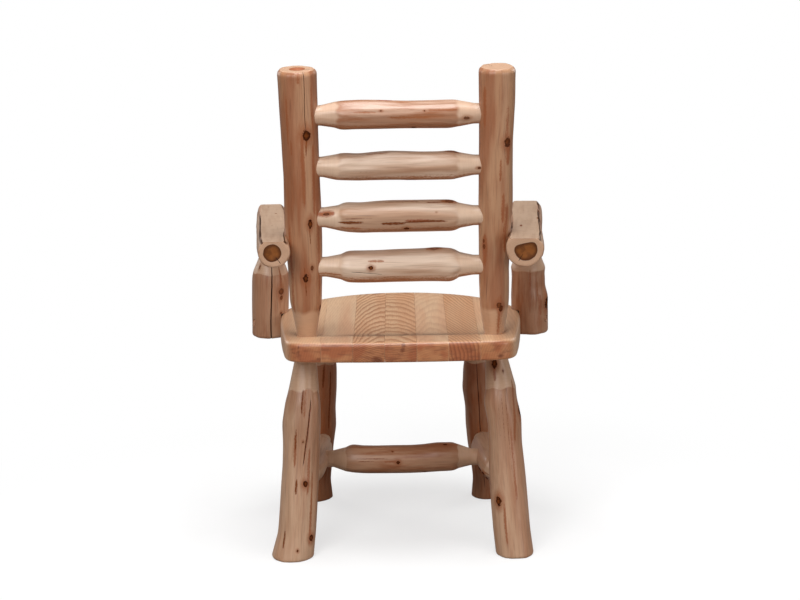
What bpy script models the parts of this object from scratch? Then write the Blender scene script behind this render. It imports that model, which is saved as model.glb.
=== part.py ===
# Log armchair: a scooped seat of seven glued boards, two leaning back posts with four round
# slats, four splayed legs with three stretchers, and two flat-topped arms on short supports.
# Logs are tenoned into blind mortises, and each arm is screwed to its back post. The sitter
# faces +Y.
# Lengths are in metres. A name that ends in share or shares is a plain ratio.

import math

import bmesh
import bpy
from mathutils import Vector

# Fits and small allowances
FIT = 0.0003
CUT_OVERRUN = 0.012
SMALL_CHAMFER = 0.0015

# Seat
SEAT_TOP = 0.470
SEAT_THICKNESS = 0.041
SEAT_HALF_WIDTH = 0.2575
SEAT_DEPTH = 0.509
SEAT_REAR_Y = -0.252
SEAT_SCOOP = 0.011
SEAT_REAR_RIM = 0.070
SEAT_RIM_SLOPE = 0.045
SEAT_TOP_ROUND = 0.009
SEAT_BOTTOM_ROUND = 0.005
SEAT_BOARD_SHARE = 0.2517
SEAT_INNER_BOARDS = 5
SEAT_OUTLINE_SIDES = 56
SEAT_BOTTOM = SEAT_TOP - SEAT_THICKNESS
SEAT_FRONT_Y = SEAT_REAR_Y + SEAT_DEPTH
SEAT_BOARD_WIDTH = SEAT_HALF_WIDTH * SEAT_BOARD_SHARE

# Half of the seat's outline, from the rear centre to the front centre: a share of the half
# width, then a share of the depth.
SEAT_OUTLINE_SHARES = (
    (0.00, 0.000),
    (0.34, 0.004),
    (0.62, 0.012),
    (0.80, 0.022),
    (0.885, 0.045),
    (0.922, 0.100),
    (0.955, 0.230),
    (0.99, 0.420),
    (1.00, 0.570),
    (0.985, 0.650),
    (0.93, 0.720),
    (0.83, 0.800),
    (0.68, 0.880),
    (0.48, 0.945),
    (0.24, 0.987),
    (0.00, 1.000),
)

# Rings of the scooped top: how far in from the edge, and how much of the scoop is reached. The
# rear rim, which carries the back posts, stays flat.
SEAT_SCOOP_SHARES = (
    (0.075, 0.03),
    (0.115, 0.22),
    (0.165, 0.58),
    (0.235, 0.88),
    (0.360, 1.00),
    (0.470, 0.98),
    (0.600, 0.93),
    (0.840, 0.82),
)
SEAT_FRONT_SCOOP_SHARE = 0.55

# Back posts
CHAIR_HEIGHT = 1.020
POST_RADIUS = 0.036
POST_SIDE_INSET = 0.0645
POST_REAR_INSET = 0.102
POST_BASE_X = SEAT_HALF_WIDTH - POST_SIDE_INSET
POST_BASE_Y = SEAT_REAR_Y + POST_REAR_INSET
POST_TOP_SPREAD = 0.004
POST_TOP_SETBACK = 0.070
POST_TENON_RADIUS = 0.0215
POST_TENON_DEPTH = 0.028
POST_CONE_LENGTH = 0.045
POST_CONE_SHARE = 0.80
POST_SHOULDER = 0.020
POST_TOP_ROUND = 0.010

# Slats, counted from the seat up; their places are shares of the back's height
SLAT_COUNT = 4
LOWEST_SLAT_SHARE = 0.259
SLAT_PITCH_SHARE = 0.190
SLAT_RADIUS = 0.030
SLAT_TENON_RADIUS = 0.0205
SLAT_TENON_STOP = 0.006
SLAT_TENON_LENGTH = 0.038
SLAT_CONE_LENGTH = 0.028
SLAT_CONE_SHARE = 0.86
SLAT_SHOULDER = 0.014

# Legs
LEG_TENON_RADIUS = 0.020
LEG_TENON_DEPTH = 0.026
LEG_CONE_LENGTH = 0.085
LEG_SHOULDER = 0.026
LEG_FOOT_ROUND = 0.004
REAR_LEG_RADIUS = 0.038
REAR_FOOT_SIDE_INSET = 0.026
REAR_FOOT_INSET = 0.062
REAR_LEG_TOP_SIDE_INSET = 0.060
REAR_LEG_TOP_INSET = 0.152
REAR_FOOT_X = SEAT_HALF_WIDTH - REAR_FOOT_SIDE_INSET
REAR_FOOT_Y = SEAT_REAR_Y + REAR_FOOT_INSET
REAR_LEG_TOP_X = SEAT_HALF_WIDTH - REAR_LEG_TOP_SIDE_INSET
REAR_LEG_TOP_Y = SEAT_REAR_Y + REAR_LEG_TOP_INSET
REAR_LEG_CONE_SHARE = 0.85
FRONT_LEG_RADIUS = 0.035
FRONT_FOOT_SIDE_INSET = 0.0575
FRONT_FOOT_INSET = 0.052
FRONT_LEG_TOP_SIDE_INSET = 0.0855
FRONT_LEG_TOP_INSET = 0.117
FRONT_FOOT_X = SEAT_HALF_WIDTH - FRONT_FOOT_SIDE_INSET
FRONT_FOOT_Y = SEAT_FRONT_Y - FRONT_FOOT_INSET
FRONT_LEG_TOP_X = SEAT_HALF_WIDTH - FRONT_LEG_TOP_SIDE_INSET
FRONT_LEG_TOP_Y = SEAT_FRONT_Y - FRONT_LEG_TOP_INSET
FRONT_LEG_CONE_SHARE = 0.90

# Stretchers
STRETCHER_HEIGHT = 0.1505
SIDE_STRETCHER_INSET = 0.012
SIDE_STRETCHER_RADIUS = 0.031
CROSS_STRETCHER_RADIUS = 0.0315
STRETCHER_TENON_RADIUS = 0.0185
STRETCHER_TENON_STOP = 0.009
STRETCHER_TENON_LENGTH = 0.034
STRETCHER_CONE_LENGTH = 0.026
STRETCHER_CONE_SHARE = 0.84
STRETCHER_SHOULDER = 0.014

# Arm supports
SUPPORT_SIDE_OFFSET = 0.0255
SUPPORT_PLACE_SHARE = 0.627
SUPPORT_X = SEAT_HALF_WIDTH + SUPPORT_SIDE_OFFSET
SUPPORT_Y = SEAT_REAR_Y + SEAT_DEPTH * SUPPORT_PLACE_SHARE
SUPPORT_TOP_INSET = 0.006
SUPPORT_BOTTOM_DROP = 0.012
SUPPORT_RADIUS = 0.039
SUPPORT_SHOULDER_RISE = 0.090
SUPPORT_CONE_LENGTH = 0.044
SUPPORT_CONE_SHARE = 0.97
SUPPORT_SHOULDER = 0.008
SUPPORT_TENON_RADIUS = 0.020
SUPPORT_END_ROUND = 0.006

# Arms, which lie against the back posts and end a little past their supports
ARM_POST_OFFSET = 0.057
ARM_REAR_INSET = 0.002
ARM_FRONT_INSET = 0.002
ARM_FRONT_OVERHANG = 0.088
ARM_OVER_SEAT = 0.210
ARM_RISE = 0.012
ARM_RADIUS = 0.0345
ARM_FLAT = 0.022
ARM_END_ROUND = 0.004
ARM_REAR_X = POST_BASE_X + ARM_POST_OFFSET
ARM_REAR_Y = SEAT_REAR_Y + ARM_REAR_INSET
ARM_FRONT_X = SUPPORT_X - ARM_FRONT_INSET
ARM_FRONT_Y = SUPPORT_Y + ARM_FRONT_OVERHANG
ARM_TOP = SEAT_TOP + ARM_OVER_SEAT

# Lag screws and the wood plugs over them
SCREW_RADIUS = 0.0032
SCREW_HEAD_RADIUS = 0.0060
SCREW_HEAD_HEIGHT = 0.0050
SCREW_TIP = 0.006
SCREW_POINT_SHARE = 0.35
PLUG_RADIUS = 0.0070
PLUG_LENGTH = 0.0100
PLUG_RECESS = 0.0015
SUPPORT_SCREW_LENGTH = 0.078
SUPPORT_SCREW_SPREAD = 0.017
ARM_SCREW_LENGTH = 0.062
ARM_SCREW_DROP = 0.004

# How finely the solids are faceted
LOG_SIDES = 16
ARM_SIDES = 18
BODY_RINGS = 8
SCREW_SIDES = 12
SMOOTH_ANGLE = math.radians(38)

# How far a natural log departs from a round section
OVAL_SHARE = 0.022
LOBE_SHARE = 0.014

# How much of a log's wander the wide end of its machined cone takes up, how natural a body
# already is where it leaves the cone, and where the middle of a rounded edge lies
CONE_WANDER_SHARE = 0.6
BODY_START_SHARE = 0.2
ROUND_MIDDLE_SHARE = 0.3

# Which way the oval of each log is turned, as a share of a full turn
POST_TURN_SHARES = {"left": -0.083, "right": 0.306}
LEG_TURN_SHARES = {"left": -0.097, "right": 0.236}
SIDE_STRETCHER_TURN_SHARES = {"left": -0.083, "right": 0.083}
ARM_TURN_SHARES = {"left": -0.139, "right": 0.139}
SUPPORT_TURN_SHARES = {"left": -0.278, "right": 0.278}
SLAT_TURN_STEP_SHARE = 0.208
CROSS_STRETCHER_TURN_SHARE = 0.333

# Natural shape of each log: a share of its length, then its girth, its sideways wander and its
# second wander, as shares of its radius. Sideways is +X on an upright log or an arm, and up on
# a slat or the cross stretcher.
POST_SHARES = {
    "left": (
        (0.00, 0.86, 0.00, 0.00),
        (0.17, 0.92, 0.03, 0.00),
        (0.31, 0.98, 0.03, 0.04),
        (0.39, 1.03, 0.00, 0.02),
        (0.64, 1.01, 0.04, -0.04),
        (0.87, 1.06, 0.00, 0.00),
        (0.94, 1.10, -0.06, 0.00),
        (1.00, 1.07, -0.02, 0.00),
    ),
    "right": (
        (0.00, 0.82, 0.00, 0.00),
        (0.17, 0.84, -0.02, 0.00),
        (0.30, 0.87, -0.04, 0.03),
        (0.44, 0.89, -0.03, 0.05),
        (0.54, 0.98, 0.04, 0.00),
        (0.66, 0.95, 0.00, -0.04),
        (0.84, 0.98, 0.00, 0.00),
        (0.91, 1.09, 0.10, 0.00),
        (0.96, 1.05, 0.04, 0.00),
        (1.00, 1.02, 0.00, 0.00),
    ),
}
SLAT_SHARES = (
    (
        (0.00, 1.06, -0.02, 0.00),
        (0.30, 1.09, -0.02, 0.03),
        (0.60, 1.09, 0.02, -0.02),
        (0.76, 1.16, 0.06, 0.00),
        (1.00, 1.10, 0.00, 0.00),
    ),
    (
        (0.00, 1.00, -0.08, 0.00),
        (0.24, 1.03, -0.08, 0.02),
        (0.45, 1.08, 0.02, 0.04),
        (0.80, 1.04, 0.02, 0.00),
        (1.00, 0.98, -0.06, 0.00),
    ),
    (
        (0.00, 0.92, -0.08, 0.00),
        (0.30, 0.92, -0.06, -0.03),
        (0.44, 1.00, 0.06, 0.00),
        (0.68, 0.97, 0.00, 0.03),
        (1.00, 0.98, 0.00, 0.00),
    ),
    (
        (0.00, 0.94, 0.06, 0.00),
        (0.30, 0.99, 0.06, 0.02),
        (0.58, 0.92, 0.00, 0.00),
        (0.76, 0.94, 0.00, -0.03),
        (1.00, 0.95, 0.02, 0.00),
    ),
)
REAR_LEG_SHARES = {
    "left": (
        (0.00, 1.16, -0.03, 0.00),
        (0.035, 1.10, 0.02, 0.00),
        (0.075, 1.04, 0.12, 0.00),
        (0.23, 1.02, 0.12, -0.02),
        (0.40, 0.99, 0.10, 0.03),
        (0.53, 1.02, 0.04, 0.04),
        (0.60, 1.07, -0.03, 0.02),
        (0.66, 1.06, -0.03, 0.00),
        (0.71, 0.98, 0.02, 0.00),
        (1.00, 0.85, 0.00, 0.00),
    ),
    "right": (
        (0.00, 1.05, 0.06, 0.00),
        (0.05, 1.03, 0.00, 0.00),
        (0.26, 1.02, 0.02, 0.03),
        (0.40, 0.99, 0.06, 0.02),
        (0.51, 0.92, 0.09, -0.02),
        (0.62, 0.94, 0.16, -0.02),
        (0.70, 0.94, 0.17, 0.00),
        (1.00, 0.94, 0.12, 0.00),
    ),
}
FRONT_LEG_SHARES = {
    "left": (
        (0.00, 1.07, 0.00, 0.00),
        (0.05, 0.98, 0.02, 0.00),
        (0.12, 0.88, 0.00, 0.00),
        (0.22, 0.92, 0.02, -0.03),
        (0.33, 0.96, 0.04, 0.03),
        (0.43, 1.06, 0.08, 0.02),
        (0.52, 0.97, 0.02, 0.00),
        (0.66, 1.00, 0.05, 0.00),
        (1.00, 0.95, 0.02, 0.00),
    ),
    "right": (
        (0.00, 1.05, -0.12, 0.00),
        (0.04, 1.04, -0.14, 0.00),
        (0.12, 0.88, -0.10, 0.00),
        (0.22, 0.93, -0.12, 0.02),
        (0.36, 1.10, -0.16, 0.03),
        (0.46, 1.00, -0.16, -0.02),
        (0.60, 1.08, -0.22, 0.00),
        (0.70, 1.10, -0.22, 0.00),
        (1.00, 0.98, -0.12, 0.00),
    ),
}
SIDE_STRETCHER_SHARES = {
    "left": (
        (0.00, 0.96, 0.00, 0.00),
        (0.35, 1.02, 0.04, 0.03),
        (0.65, 1.00, 0.02, 0.05),
        (1.00, 0.94, 0.00, 0.00),
    ),
    "right": (
        (0.00, 0.98, 0.00, 0.00),
        (0.30, 1.00, -0.02, -0.03),
        (0.60, 1.04, -0.04, 0.02),
        (1.00, 0.97, 0.00, 0.00),
    ),
}
CROSS_STRETCHER_SHARES = (
    (0.00, 0.96, -0.08, 0.00),
    (0.30, 1.00, -0.10, 0.03),
    (0.58, 1.00, -0.12, 0.00),
    (0.72, 1.04, 0.00, -0.02),
    (0.84, 0.99, 0.10, 0.00),
    (1.00, 0.96, 0.08, 0.00),
)
ARM_SHARES = {
    "left": (
        (0.00, 0.93, 0.00, 0.00),
        (0.20, 0.95, -0.05, 0.00),
        (0.45, 0.99, 0.03, 0.00),
        (0.75, 1.00, 0.04, 0.00),
        (1.00, 0.94, 0.00, 0.00),
    ),
    "right": (
        (0.00, 1.09, 0.00, 0.00),
        (0.18, 1.05, 0.04, 0.00),
        (0.40, 0.98, 0.02, 0.00),
        (0.72, 1.02, -0.03, 0.00),
        (1.00, 0.96, 0.00, 0.00),
    ),
}
SUPPORT_SHARES = {
    "left": (
        (0.00, 1.04, -0.05, 0.00),
        (0.25, 1.05, -0.04, 0.02),
        (0.45, 1.05, -0.02, 0.00),
        (0.62, 1.02, 0.01, 0.00),
        (1.00, 0.90, 0.00, 0.00),
    ),
    "right": (
        (0.00, 0.96, -0.08, 0.00),
        (0.16, 0.97, -0.06, 0.00),
        (0.30, 1.05, 0.02, 0.02),
        (0.45, 0.92, -0.05, 0.00),
        (0.62, 0.92, -0.03, 0.00),
        (1.00, 0.88, 0.00, 0.00),
    ),
}

# Colours, as seen on screen
POST_COLOUR = (0.62, 0.46, 0.35)
SLAT_COLOUR = (0.78, 0.66, 0.56)
LEG_COLOUR = (0.68, 0.55, 0.45)
STRETCHER_COLOUR = (0.66, 0.52, 0.42)
ARM_COLOUR = (0.74, 0.63, 0.54)
SUPPORT_COLOUR = (0.66, 0.50, 0.40)
SEAT_COLOUR = (0.77, 0.63, 0.50)
PLUG_COLOUR = (0.70, 0.55, 0.42)
SCREW_COLOUR = (0.55, 0.55, 0.54)
BOARD_TINT_SHARES = (0.98, 0.94, 1.00, 1.03, 0.99, 0.97, 1.01)
WOOD_ROUGHNESS = 0.42
STEEL_ROUGHNESS = 0.35

SIDES = {"left": -1, "right": 1}


def ease(share):
    """Smooth step from 0 to 1."""
    share = min(max(share, 0), 1)
    return share * share * (3 - 2 * share)


def linear(channel):
    """A screen colour channel as linear light."""
    if channel <= 0.04045:
        return channel / 12.92
    return ((channel + 0.055) / 1.055) ** 2.4


def material(name, colour, roughness, metallic=0):
    """A Principled material in a screen colour."""
    made = bpy.data.materials.new(name)
    made.use_nodes = True
    shader = made.node_tree.nodes["Principled BSDF"]
    shader.inputs["Base Color"].default_value = (*[linear(channel) for channel in colour], 1)
    shader.inputs["Roughness"].default_value = roughness
    shader.inputs["Metallic"].default_value = metallic
    return made


def finished(name, shape, look, chair):
    """Turn a bmesh into a smooth-shaded object that belongs to the chair."""
    bmesh.ops.recalc_face_normals(shape, faces=shape.faces)
    mesh = bpy.data.meshes.new(name)
    shape.to_mesh(mesh)
    shape.free()
    mesh.shade_smooth()
    mesh.set_sharp_from_angle(angle=SMOOTH_ANGLE)
    made = bpy.data.objects.new(name, mesh)
    made.parent = chair
    bpy.context.scene.collection.objects.link(made)
    if look:
        mesh.materials.append(look)
    else:
        made.hide_render = True
        made.display_type = "WIRE"
    return made


def cut(target, cutter):
    """Take the cutter's volume out of the target."""
    step = target.modifiers.new(cutter.name, "BOOLEAN")
    step.operation = "DIFFERENCE"
    step.solver = "EXACT"
    step.object = cutter


def cross_frame(direction):
    """Two unit vectors square to a direction: sideways, then the one square to both."""
    reference = Vector((1, 0, 0))
    if abs(direction.dot(reference)) > abs(direction.dot(Vector((0, 1, 1)))):
        reference = Vector((0, 0, 1))
    sideways = (reference - direction * reference.dot(direction)).normalized()
    return sideways, direction.cross(sideways)


def circle(centre, direction, radius, sides):
    """Points of a circle square to a direction."""
    sideways, other = cross_frame(direction)
    turns = [2 * math.pi * index / sides for index in range(sides)]
    return [centre + (sideways * math.cos(turn) + other * math.sin(turn)) * radius for turn in turns]


def add_skin(shape, rings, first_tip, last_tip):
    """Join rings of points into one closed body with a fan at each end."""
    loops = [[shape.verts.new(point) for point in ring] for ring in rings]
    for lower, upper in zip(loops, loops[1:]):
        for index in range(len(lower)):
            following = (index + 1) % len(lower)
            shape.faces.new((lower[index], lower[following], upper[following], upper[index]))
    for loop, tip in ((loops[0], first_tip), (loops[-1], last_tip)):
        point = shape.verts.new(tip)
        for index, vertex in enumerate(loop):
            shape.faces.new((vertex, loop[(index + 1) % len(loop)], point))


def add_turned(shape, start, direction, stations, sides=LOG_SIDES):
    """A turned body along a line, from (distance, radius) stations."""
    rings = []
    for distance, radius in stations:
        rings.append(circle(start + direction * distance, direction, radius, sides))
    first_tip = start + direction * stations[0][0]
    last_tip = start + direction * stations[-1][0]
    add_skin(shape, rings, first_tip, last_tip)


def socket(name, mouths, radius, depth, chair):
    """A cutter for blind round mortises, each from a tenon's end and its way out."""
    shape = bmesh.new()
    for tip, way_out in mouths:
        add_turned(shape, tip, way_out, ((-FIT, radius + FIT), (depth, radius + FIT)))
    return finished(name, shape, None, chair)


def table_row(table, share):
    """The row of a table of shares at one place, eased between its neighbours."""
    previous = table[0]
    for entry in table:
        if share <= entry[0] and entry[0] > previous[0]:
            blend = ease((share - previous[0]) / (entry[0] - previous[0]))
            return [a + (b - a) * blend for a, b in zip(previous[1:], entry[1:])]
        previous = entry
    return table[-1][1:]


class Log:
    """A natural log between two points, with its girth and wander taken from shares."""

    def __init__(self, start, end, radius, shares, turn_share, sides=LOG_SIDES, flat=None):
        self.start = start
        self.length = (end - start).length
        self.direction = (end - start).normalized()
        self.radius = radius
        self.shares = shares
        self.turn = 2 * math.pi * turn_share
        self.sides = sides
        self.flat = flat

    def wander(self, distance):
        """How far the log's heart lies off its straight axis."""
        _, aside, ahead = table_row(self.shares, distance / self.length)
        sideways, other = cross_frame(self.direction)
        return (sideways * aside + other * ahead) * self.radius

    def natural_ring(self, distance, natural, scale=1, grow=0, level=0):
        """A ring of the log: natural is 0 on a machined end and 1 on the bark side."""
        girth = table_row(self.shares, distance / self.length)[0]
        sideways, other = cross_frame(self.direction)
        wander = self.wander(distance) * natural
        centre = self.start + self.direction * distance
        points = []
        for index in range(self.sides):
            angle = 2 * math.pi * index / self.sides
            oval = OVAL_SHARE * math.cos(2 * angle - self.turn)
            lobe = LOBE_SHARE * math.cos(3 * angle + self.turn)
            reach = self.radius * girth * scale * (1 + (oval + lobe) * natural) + grow
            offset = (sideways * math.cos(angle) + other * math.sin(angle)) * reach + wander
            if self.flat is not None:
                offset.z = min(offset.z, self.flat)
            if level:
                offset -= self.direction * (offset.z * level / self.direction.z)
            points.append(centre + offset)
        return points

    def body_rings(self, first, last, ease_in, ease_out, grow=0, level=0):
        """Natural rings between two distances, eased onto the machined ends."""
        rings = []
        for index in range(BODY_RINGS):
            distance = first + (last - first) * index / (BODY_RINGS - 1)
            natural = 1
            if ease_in:
                natural = min(natural, ease((distance - first) / ease_in + BODY_START_SHARE))
            if ease_out:
                natural = min(natural, ease((last - distance) / ease_out + BODY_START_SHARE))
            lean = level * (1 - ease(index / (BODY_RINGS - 1) * 2))
            rings.append(self.natural_ring(distance, natural, grow=grow, level=lean))
        return rings

    def tenon_rings(self, distance, way, tenon_radius, tenon_length, cone_length, cone_radius, grow=0):
        """Machined rings from a tenon's end to the wide end of its cone."""
        middle_radius = (tenon_radius + cone_radius) / 2
        stations = (
            (0, tenon_radius - SMALL_CHAMFER, 0),
            (SMALL_CHAMFER, tenon_radius, 0),
            (tenon_length, tenon_radius, 0),
            (tenon_length + cone_length / 2, middle_radius, CONE_WANDER_SHARE / 2),
            (tenon_length + cone_length, cone_radius, CONE_WANDER_SHARE),
        )
        rings = []
        for reach, radius, wander_share in stations:
            place = distance + way * reach
            centre = self.start + self.direction * place + self.wander(place) * wander_share
            rings.append(circle(centre, self.direction, radius + grow, self.sides))
        return rings

    def round_end(self, distance, way, size, grow=0, level=0):
        """Rings that round a sawn end over, from the end inwards."""
        middle = size * ROUND_MIDDLE_SHARE
        stations = ((0, size), (middle, middle))
        rings = []
        for reach, inset in stations:
            scale = 1 - inset / self.radius
            rings.append(self.natural_ring(distance + way * reach, 1, scale, grow, level))
        return rings


def ring_centre(ring):
    """The middle of a ring of points."""
    return sum(ring, Vector()) / len(ring)


def close_log(shape, rings):
    """Add a log from its rings, with flat ends."""
    add_skin(shape, rings, ring_centre(rings[0]), ring_centre(rings[-1]))


def seat_outline(grow=0):
    """The seat's outline as points, moved outwards by a length."""
    right = [
        Vector((SEAT_HALF_WIDTH * across, SEAT_REAR_Y + SEAT_DEPTH * along, 0))
        for across, along in SEAT_OUTLINE_SHARES
    ]
    left = [Vector((-point.x, point.y, 0)) for point in reversed(right[1:-1])]
    knots = right + left
    count = len(knots)
    points = []
    for index in range(SEAT_OUTLINE_SIDES):
        place = index * count / SEAT_OUTLINE_SIDES
        number = int(place)
        part = place - number
        before, start, end, after = (knots[(number + step) % count] for step in (-1, 0, 1, 2))
        first_pull = (end - before) / 2
        last_pull = (after - start) / 2
        rise = ease(part)
        leave = part * (1 - part) * (1 - part)
        arrive = part * part * (part - 1)
        points.append(start + (end - start) * rise + first_pull * leave + last_pull * arrive)
    moved = []
    for index, point in enumerate(points):
        along = points[(index + 1) % len(points)] - points[index - 1]
        outwards = Vector((along.y, -along.x, 0)).normalized()
        moved.append(point + outwards * grow)
    return moved


def seat_scoop(point, reach):
    """How deep the top is scooped at a place, given its share of the way in."""
    previous = (0, 0)
    depth = SEAT_SCOOP_SHARES[-1][1]
    for entry in SEAT_SCOOP_SHARES:
        if reach <= entry[0]:
            blend = (reach - previous[0]) / (entry[0] - previous[0])
            depth = previous[1] + (entry[1] - previous[1]) * blend
            break
        previous = entry
    forward = ease((point.y - SEAT_REAR_Y) / SEAT_DEPTH)
    past_rim = ease((point.y - SEAT_REAR_Y - SEAT_REAR_RIM) / SEAT_RIM_SLOPE)
    return SEAT_SCOOP * depth * past_rim * (1 - forward * (1 - SEAT_FRONT_SCOOP_SHARE))


def seat_surface(x, y):
    """Height of the scooped top over a place on the seat."""
    middle = Vector((0, SEAT_REAR_Y + SEAT_DEPTH / 2, 0))
    ray = Vector((x, y, 0)) - middle
    best = max(seat_outline(), key=lambda point: (point - middle).normalized().dot(ray.normalized()))
    reach = 1 - ray.length / (best - middle).length
    return SEAT_TOP - seat_scoop(Vector((x, y, 0)), reach)


def seat_slab():
    """The whole seat as one bmesh, before it is parted into boards."""
    middle = Vector((0, SEAT_REAR_Y + SEAT_DEPTH / 2, 0))
    up = Vector((0, 0, 1))
    low_corner = SEAT_BOTTOM_ROUND * ROUND_MIDDLE_SHARE
    high_corner = SEAT_TOP_ROUND * ROUND_MIDDLE_SHARE
    edge = (
        (SEAT_BOTTOM, SEAT_BOTTOM_ROUND),
        (SEAT_BOTTOM + low_corner, low_corner),
        (SEAT_BOTTOM + SEAT_BOTTOM_ROUND, 0),
        (SEAT_TOP - SEAT_TOP_ROUND, 0),
        (SEAT_TOP - high_corner, high_corner),
        (SEAT_TOP, SEAT_TOP_ROUND),
    )
    rings = [[point + up * height for point in seat_outline(-inset)] for height, inset in edge]
    rim = seat_outline(-SEAT_TOP_ROUND)
    for reach, _ in SEAT_SCOOP_SHARES:
        ring = []
        for point in rim:
            place = middle + (point - middle) * (1 - reach)
            ring.append(place + up * (SEAT_TOP - seat_scoop(place, reach)))
        rings.append(ring)
    shape = bmesh.new()
    centre_height = SEAT_TOP - seat_scoop(middle, 1)
    add_skin(shape, rings, middle + up * SEAT_BOTTOM, middle + up * centre_height)
    bmesh.ops.recalc_face_normals(shape, faces=shape.faces)
    return shape


def part_slab(shape, x, keep):
    """Keep the slab on one side of an upright plane and close the cut."""
    whole = list(shape.verts) + list(shape.edges) + list(shape.faces)
    bmesh.ops.bisect_plane(
        shape,
        geom=whole,
        plane_co=Vector((x, 0, 0)),
        plane_no=Vector((-keep, 0, 0)),
        clear_outer=True,
    )
    bmesh.ops.holes_fill(shape, edges=[edge for edge in shape.edges if edge.is_boundary])


def seat_boards(chair):
    """The glued boards, from the left side to the right."""
    joints = [
        (index - SEAT_INNER_BOARDS / 2) * SEAT_BOARD_WIDTH for index in range(SEAT_INNER_BOARDS + 1)
    ]
    boards = []
    for number in range(SEAT_INNER_BOARDS + 2):
        shape = seat_slab()
        if number > 0:
            part_slab(shape, joints[number - 1] + FIT / 2, 1)
        if number <= SEAT_INNER_BOARDS:
            part_slab(shape, joints[number] - FIT / 2, -1)
        name = "seat_board_%d" % (number + 1)
        tint = BOARD_TINT_SHARES[number]
        look = material(name, [channel * tint for channel in SEAT_COLOUR], WOOD_ROUGHNESS)
        boards.append(finished(name, shape, look, chair))
    return boards


def cut_boards(boards, side, distance, radius, mortise):
    """Cut a mortise into each board that it reaches, from the seat's side inwards."""
    joint = SEAT_INNER_BOARDS / 2 * SEAT_BOARD_WIDTH
    for board in boards if side < 0 else reversed(boards):
        if distance + radius + FIT > joint:
            cut(board, mortise)
        if distance - radius - FIT > joint:
            break
        joint -= SEAT_BOARD_WIDTH


def post_point(side, height):
    """A point on a back post's axis."""
    share = (height - SEAT_TOP) / (CHAIR_HEIGHT - SEAT_TOP)
    x = POST_BASE_X + POST_TOP_SPREAD * share
    return Vector((side * x, POST_BASE_Y - POST_TOP_SETBACK * share, height))


def post_log(side_name):
    """The log of one back post, from its tenon's end to its top."""
    side = SIDES[side_name]
    base = post_point(side, SEAT_TOP)
    top = post_point(side, CHAIR_HEIGHT)
    direction = (top - base).normalized()
    start = base - direction * POST_TENON_DEPTH
    return Log(start, top, POST_RADIUS, POST_SHARES[side_name], POST_TURN_SHARES[side_name])


def post_shape(side_name, grow=0):
    """A back post as a bmesh; grown, it is the cutter for the arm's saddle."""
    log = post_log(side_name)
    base = post_point(SIDES[side_name], SEAT_TOP)
    around = circle(base, Vector((0, 0, 1)), POST_TENON_RADIUS, LOG_SIDES)
    highest = max(seat_surface(point.x, point.y) for point in around)
    lean_rise = POST_TENON_RADIUS * abs(log.direction.y)
    tenon = POST_TENON_DEPTH + highest - SEAT_TOP + lean_rise + FIT
    cone_radius = POST_RADIUS * POST_CONE_SHARE
    rings = log.tenon_rings(0, 1, POST_TENON_RADIUS, tenon, POST_CONE_LENGTH, cone_radius, grow)
    first = tenon + POST_CONE_LENGTH + POST_SHOULDER
    last = log.length - POST_TOP_ROUND
    rings += log.body_rings(first, last, POST_SHOULDER, 0, grow)
    rings += reversed(log.round_end(log.length, -1, POST_TOP_ROUND, grow))
    shape = bmesh.new()
    close_log(shape, rings)
    return shape


def slat_ends(number):
    """Both tenon ends of one slat, inside the back posts."""
    share = LOWEST_SLAT_SHARE + SLAT_PITCH_SHARE * number
    height = SEAT_TOP + (CHAIR_HEIGHT - SEAT_TOP) * share
    stop = Vector((SLAT_TENON_STOP, 0, 0))
    return post_point(-1, height) + stop, post_point(1, height) - stop


def tenoned_log(log, tenon_radius, tenon_length, cone_length, cone_radius, shoulder):
    """A log with a tenon on both ends, as a bmesh."""
    rings = log.tenon_rings(0, 1, tenon_radius, tenon_length, cone_length, cone_radius)
    first = tenon_length + cone_length + shoulder
    rings += log.body_rings(first, log.length - first, shoulder, shoulder)
    far = log.tenon_rings(log.length, -1, tenon_radius, tenon_length, cone_length, cone_radius)
    rings += reversed(far)
    shape = bmesh.new()
    close_log(shape, rings)
    return shape


def back(chair):
    """Both posts and the slats between them; returns the posts by side."""
    posts = {}
    for side_name in SIDES:
        look = material("post_" + side_name, POST_COLOUR, WOOD_ROUGHNESS)
        posts[side_name] = finished("back_post_" + side_name, post_shape(side_name), look, chair)
    for number in range(SLAT_COUNT):
        start, end = slat_ends(number)
        turn_share = SLAT_TURN_STEP_SHARE * number
        log = Log(start, end, SLAT_RADIUS, SLAT_SHARES[number], turn_share)
        cone_radius = SLAT_RADIUS * SLAT_CONE_SHARE
        shape = tenoned_log(
            log, SLAT_TENON_RADIUS, SLAT_TENON_LENGTH, SLAT_CONE_LENGTH, cone_radius, SLAT_SHOULDER
        )
        name = "back_slat_%d" % (number + 1)
        finished(name, shape, material(name, SLAT_COLOUR, WOOD_ROUGHNESS), chair)
        mouths = ((start, log.direction), (end, -log.direction))
        sockets = socket("cut_" + name, mouths, SLAT_TENON_RADIUS, SLAT_TENON_LENGTH, chair)
        for post in posts.values():
            cut(post, sockets)
    return posts


def leg_point(place, side, height):
    """A point on the axis of a front or rear leg."""
    share = height / SEAT_BOTTOM
    if place == "rear":
        foot = Vector((side * REAR_FOOT_X, REAR_FOOT_Y, 0))
        top = Vector((side * REAR_LEG_TOP_X, REAR_LEG_TOP_Y, SEAT_BOTTOM))
    else:
        foot = Vector((side * FRONT_FOOT_X, FRONT_FOOT_Y, 0))
        top = Vector((side * FRONT_LEG_TOP_X, FRONT_LEG_TOP_Y, SEAT_BOTTOM))
    return foot.lerp(top, share)


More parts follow.
